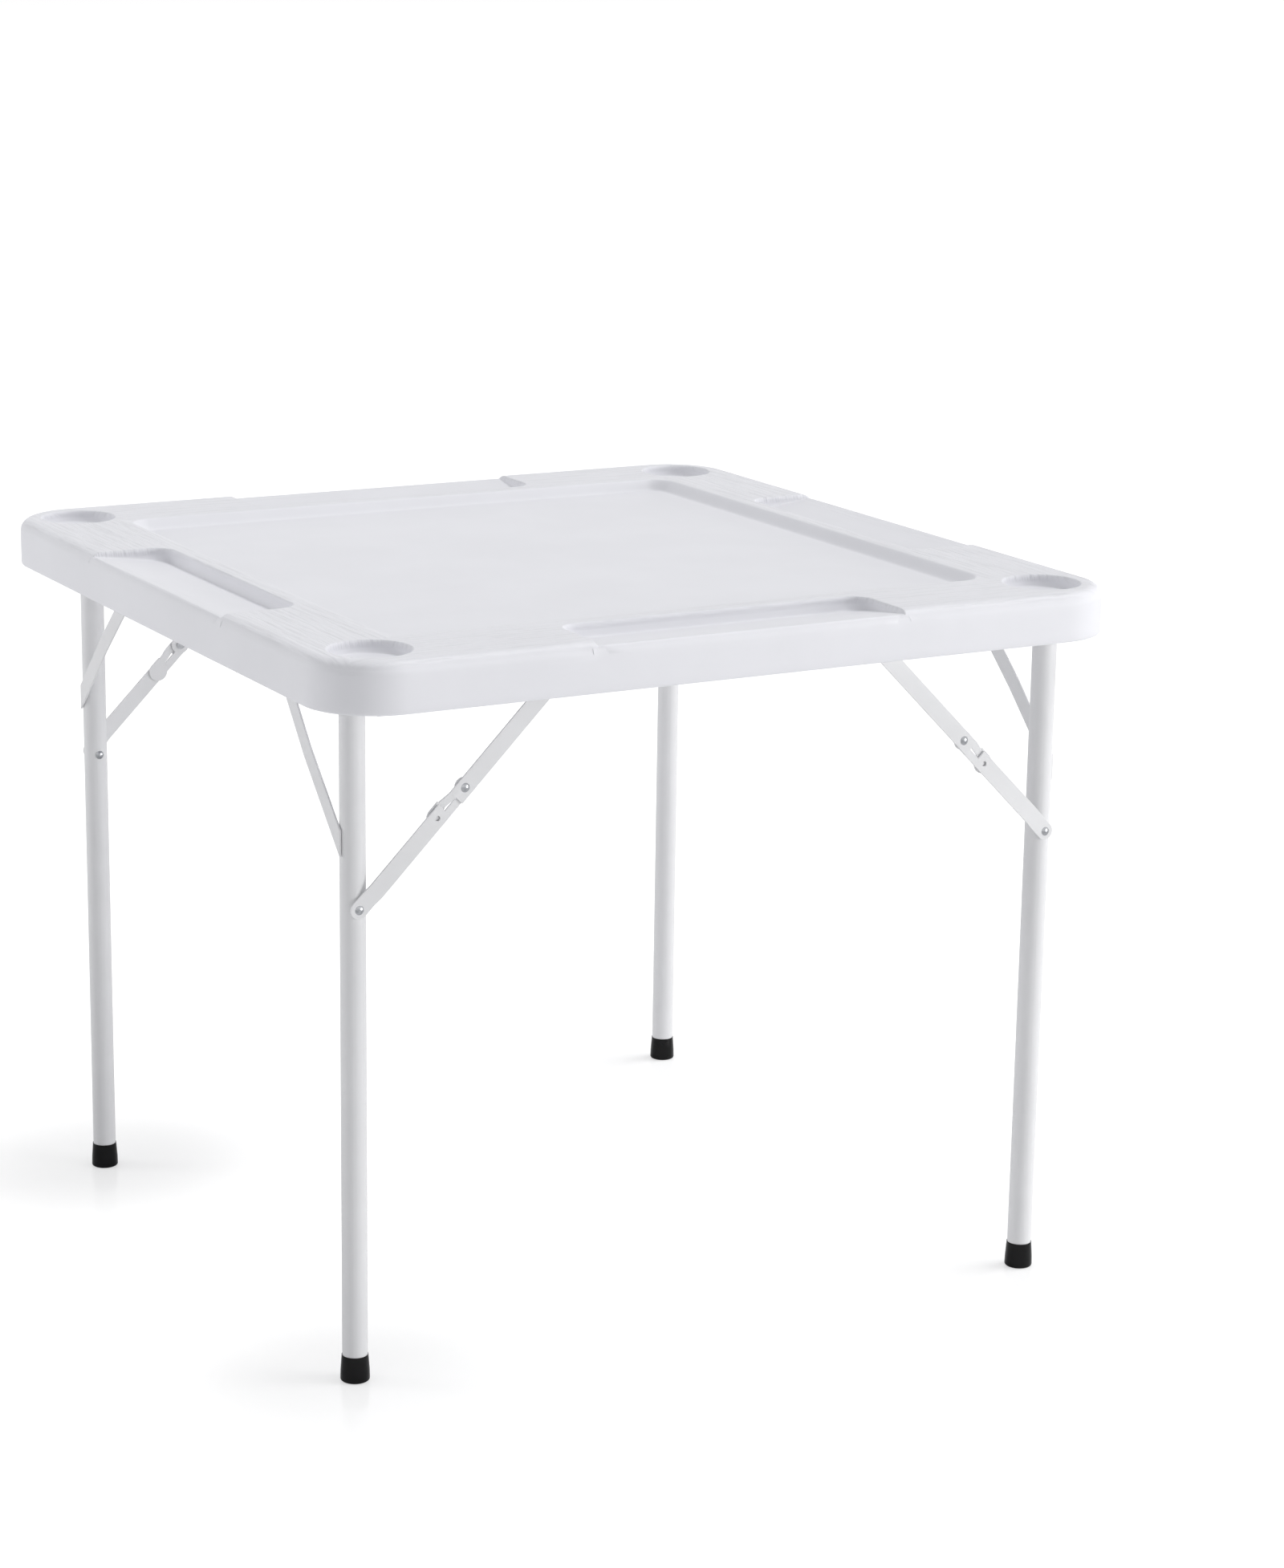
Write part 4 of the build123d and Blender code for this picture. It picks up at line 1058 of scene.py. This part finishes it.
def stage_camera(settings):
    """The camera at the photograph's viewing angle, from yaw, pitch and roll."""
    yaw, pitch, roll = settings.yaw, settings.pitch, settings.roll
    forward = Vector((math.sin(yaw) * math.cos(pitch), math.cos(yaw) * math.cos(pitch), -math.sin(pitch)))
    level = Vector((math.cos(yaw), -math.sin(yaw), 0))
    upward = level.cross(forward)
    right = math.cos(roll) * level + math.sin(roll) * upward
    up = math.cos(roll) * upward - math.sin(roll) * level
    data = bpy.data.cameras.new("camera")
    data.sensor_width = SENSOR_WIDTH
    data.lens = settings.focal_pixels / PICTURE_HEIGHT * SENSOR_WIDTH
    camera = bpy.data.objects.new("camera", data)
    bpy.context.scene.collection.objects.link(camera)
    turn = Matrix((right, up, -forward)).transposed().to_4x4()
    camera.matrix_world = Matrix.Translation(Vector(settings.eye)) @ turn
    bpy.context.scene.camera = camera


# Operators

class TablePiece:
    """What every operator of this add-on shares."""

    bl_options = {"REGISTER", "UNDO"}


class CARDTABLE_OT_stage(TablePiece, bpy.types.Operator):
    """Set the camera, floor, background and lamps"""

    bl_idname = "card_table.stage"
    bl_label = "Stage"

    def execute(self, context):
        settings = context.scene.table_stage
        stage_camera(settings)
        stage_floor(settings)
        stage_world(settings)
        for name, (kind, place, strength, size) in LAMPS.items():
            stage_lamp(name, kind, place, getattr(settings, strength), size)
        context.scene.view_settings.view_transform = "Standard"
        return {"FINISHED"}


class CARDTABLE_OT_top(TablePiece, bpy.types.Operator):
    """Make the moulded top with its field, trays, cup recesses and pocketed underside"""

    bl_idname = "card_table.top"
    bl_label = "Moulded top"

    def execute(self, context):
        moulded_top(context.scene.table_top)
        return {"FINISHED"}


class CARDTABLE_OT_strips(TablePiece, bpy.types.Operator):
    """Round the edges of the rails, stiffener, brackets, braces, strut links and clip"""

    bl_idname = "card_table.strips"
    bl_label = "Strips and brackets"

    def execute(self, context):
        for name in EASED_NODES:
            eased_copy(name, context.scene.table_steel.edge_round)
        return {"FINISHED"}


class CARDTABLE_OT_feet(TablePiece, bpy.types.Operator):
    """Make the rubber cups on the legs' ends"""

    bl_idname = "card_table.feet"
    bl_label = "Feet"

    def execute(self, context):
        for which in FRAMES:
            for side in SIDES:
                rubber_foot(f"{which}_foot_{side}")
        return {"FINISHED"}


class CARDTABLE_OT_finishes(TablePiece, bpy.types.Operator):
    """Give every CAD node that still shows its own finish"""

    bl_idname = "card_table.finishes"
    bl_label = "Finishes"

    def execute(self, context):
        for name, node in frame["nodes"].items():
            for slot in node.material_slots:
                slot.material = finish(SLOT_OF[name])
        return {"FINISHED"}


STEPS = ("stage", "top", "strips", "feet", "finishes")
GROUPS = {"table_top": TopSettings, "table_steel": SteelSettings, "table_stage": StageSettings}


class CARDTABLE_PT_panel(bpy.types.Panel):
    """The card table's tools and settings"""

    bl_idname = "CARDTABLE_PT_panel"
    bl_label = "Card table"
    bl_space_type = "VIEW_3D"
    bl_region_type = "UI"
    bl_category = "Card table"

    def draw(self, context):
        for step in STEPS:
            self.layout.operator("card_table." + step)
        for name in GROUPS:
            group = getattr(context.scene, name)
            box = self.layout.box()
            for key in group.__annotations__:
                box.prop(group, key)


CLASSES = (
    *GROUPS.values(),
    CARDTABLE_OT_stage,
    CARDTABLE_OT_top,
    CARDTABLE_OT_strips,
    CARDTABLE_OT_feet,
    CARDTABLE_OT_finishes,
    CARDTABLE_PT_panel,
)


def register():
    for item in CLASSES:
        bpy.utils.register_class(item)
    for name, group in GROUPS.items():
        setattr(bpy.types.Scene, name, bpy.props.PointerProperty(type=group))


def unregister():
    for name in GROUPS:
        delattr(bpy.types.Scene, name)
    for item in reversed(CLASSES):
        bpy.utils.unregister_class(item)


def main():
    register()
    for step in STEPS:
        getattr(bpy.ops.card_table, step)()


if __name__ == "__main__":
    main()
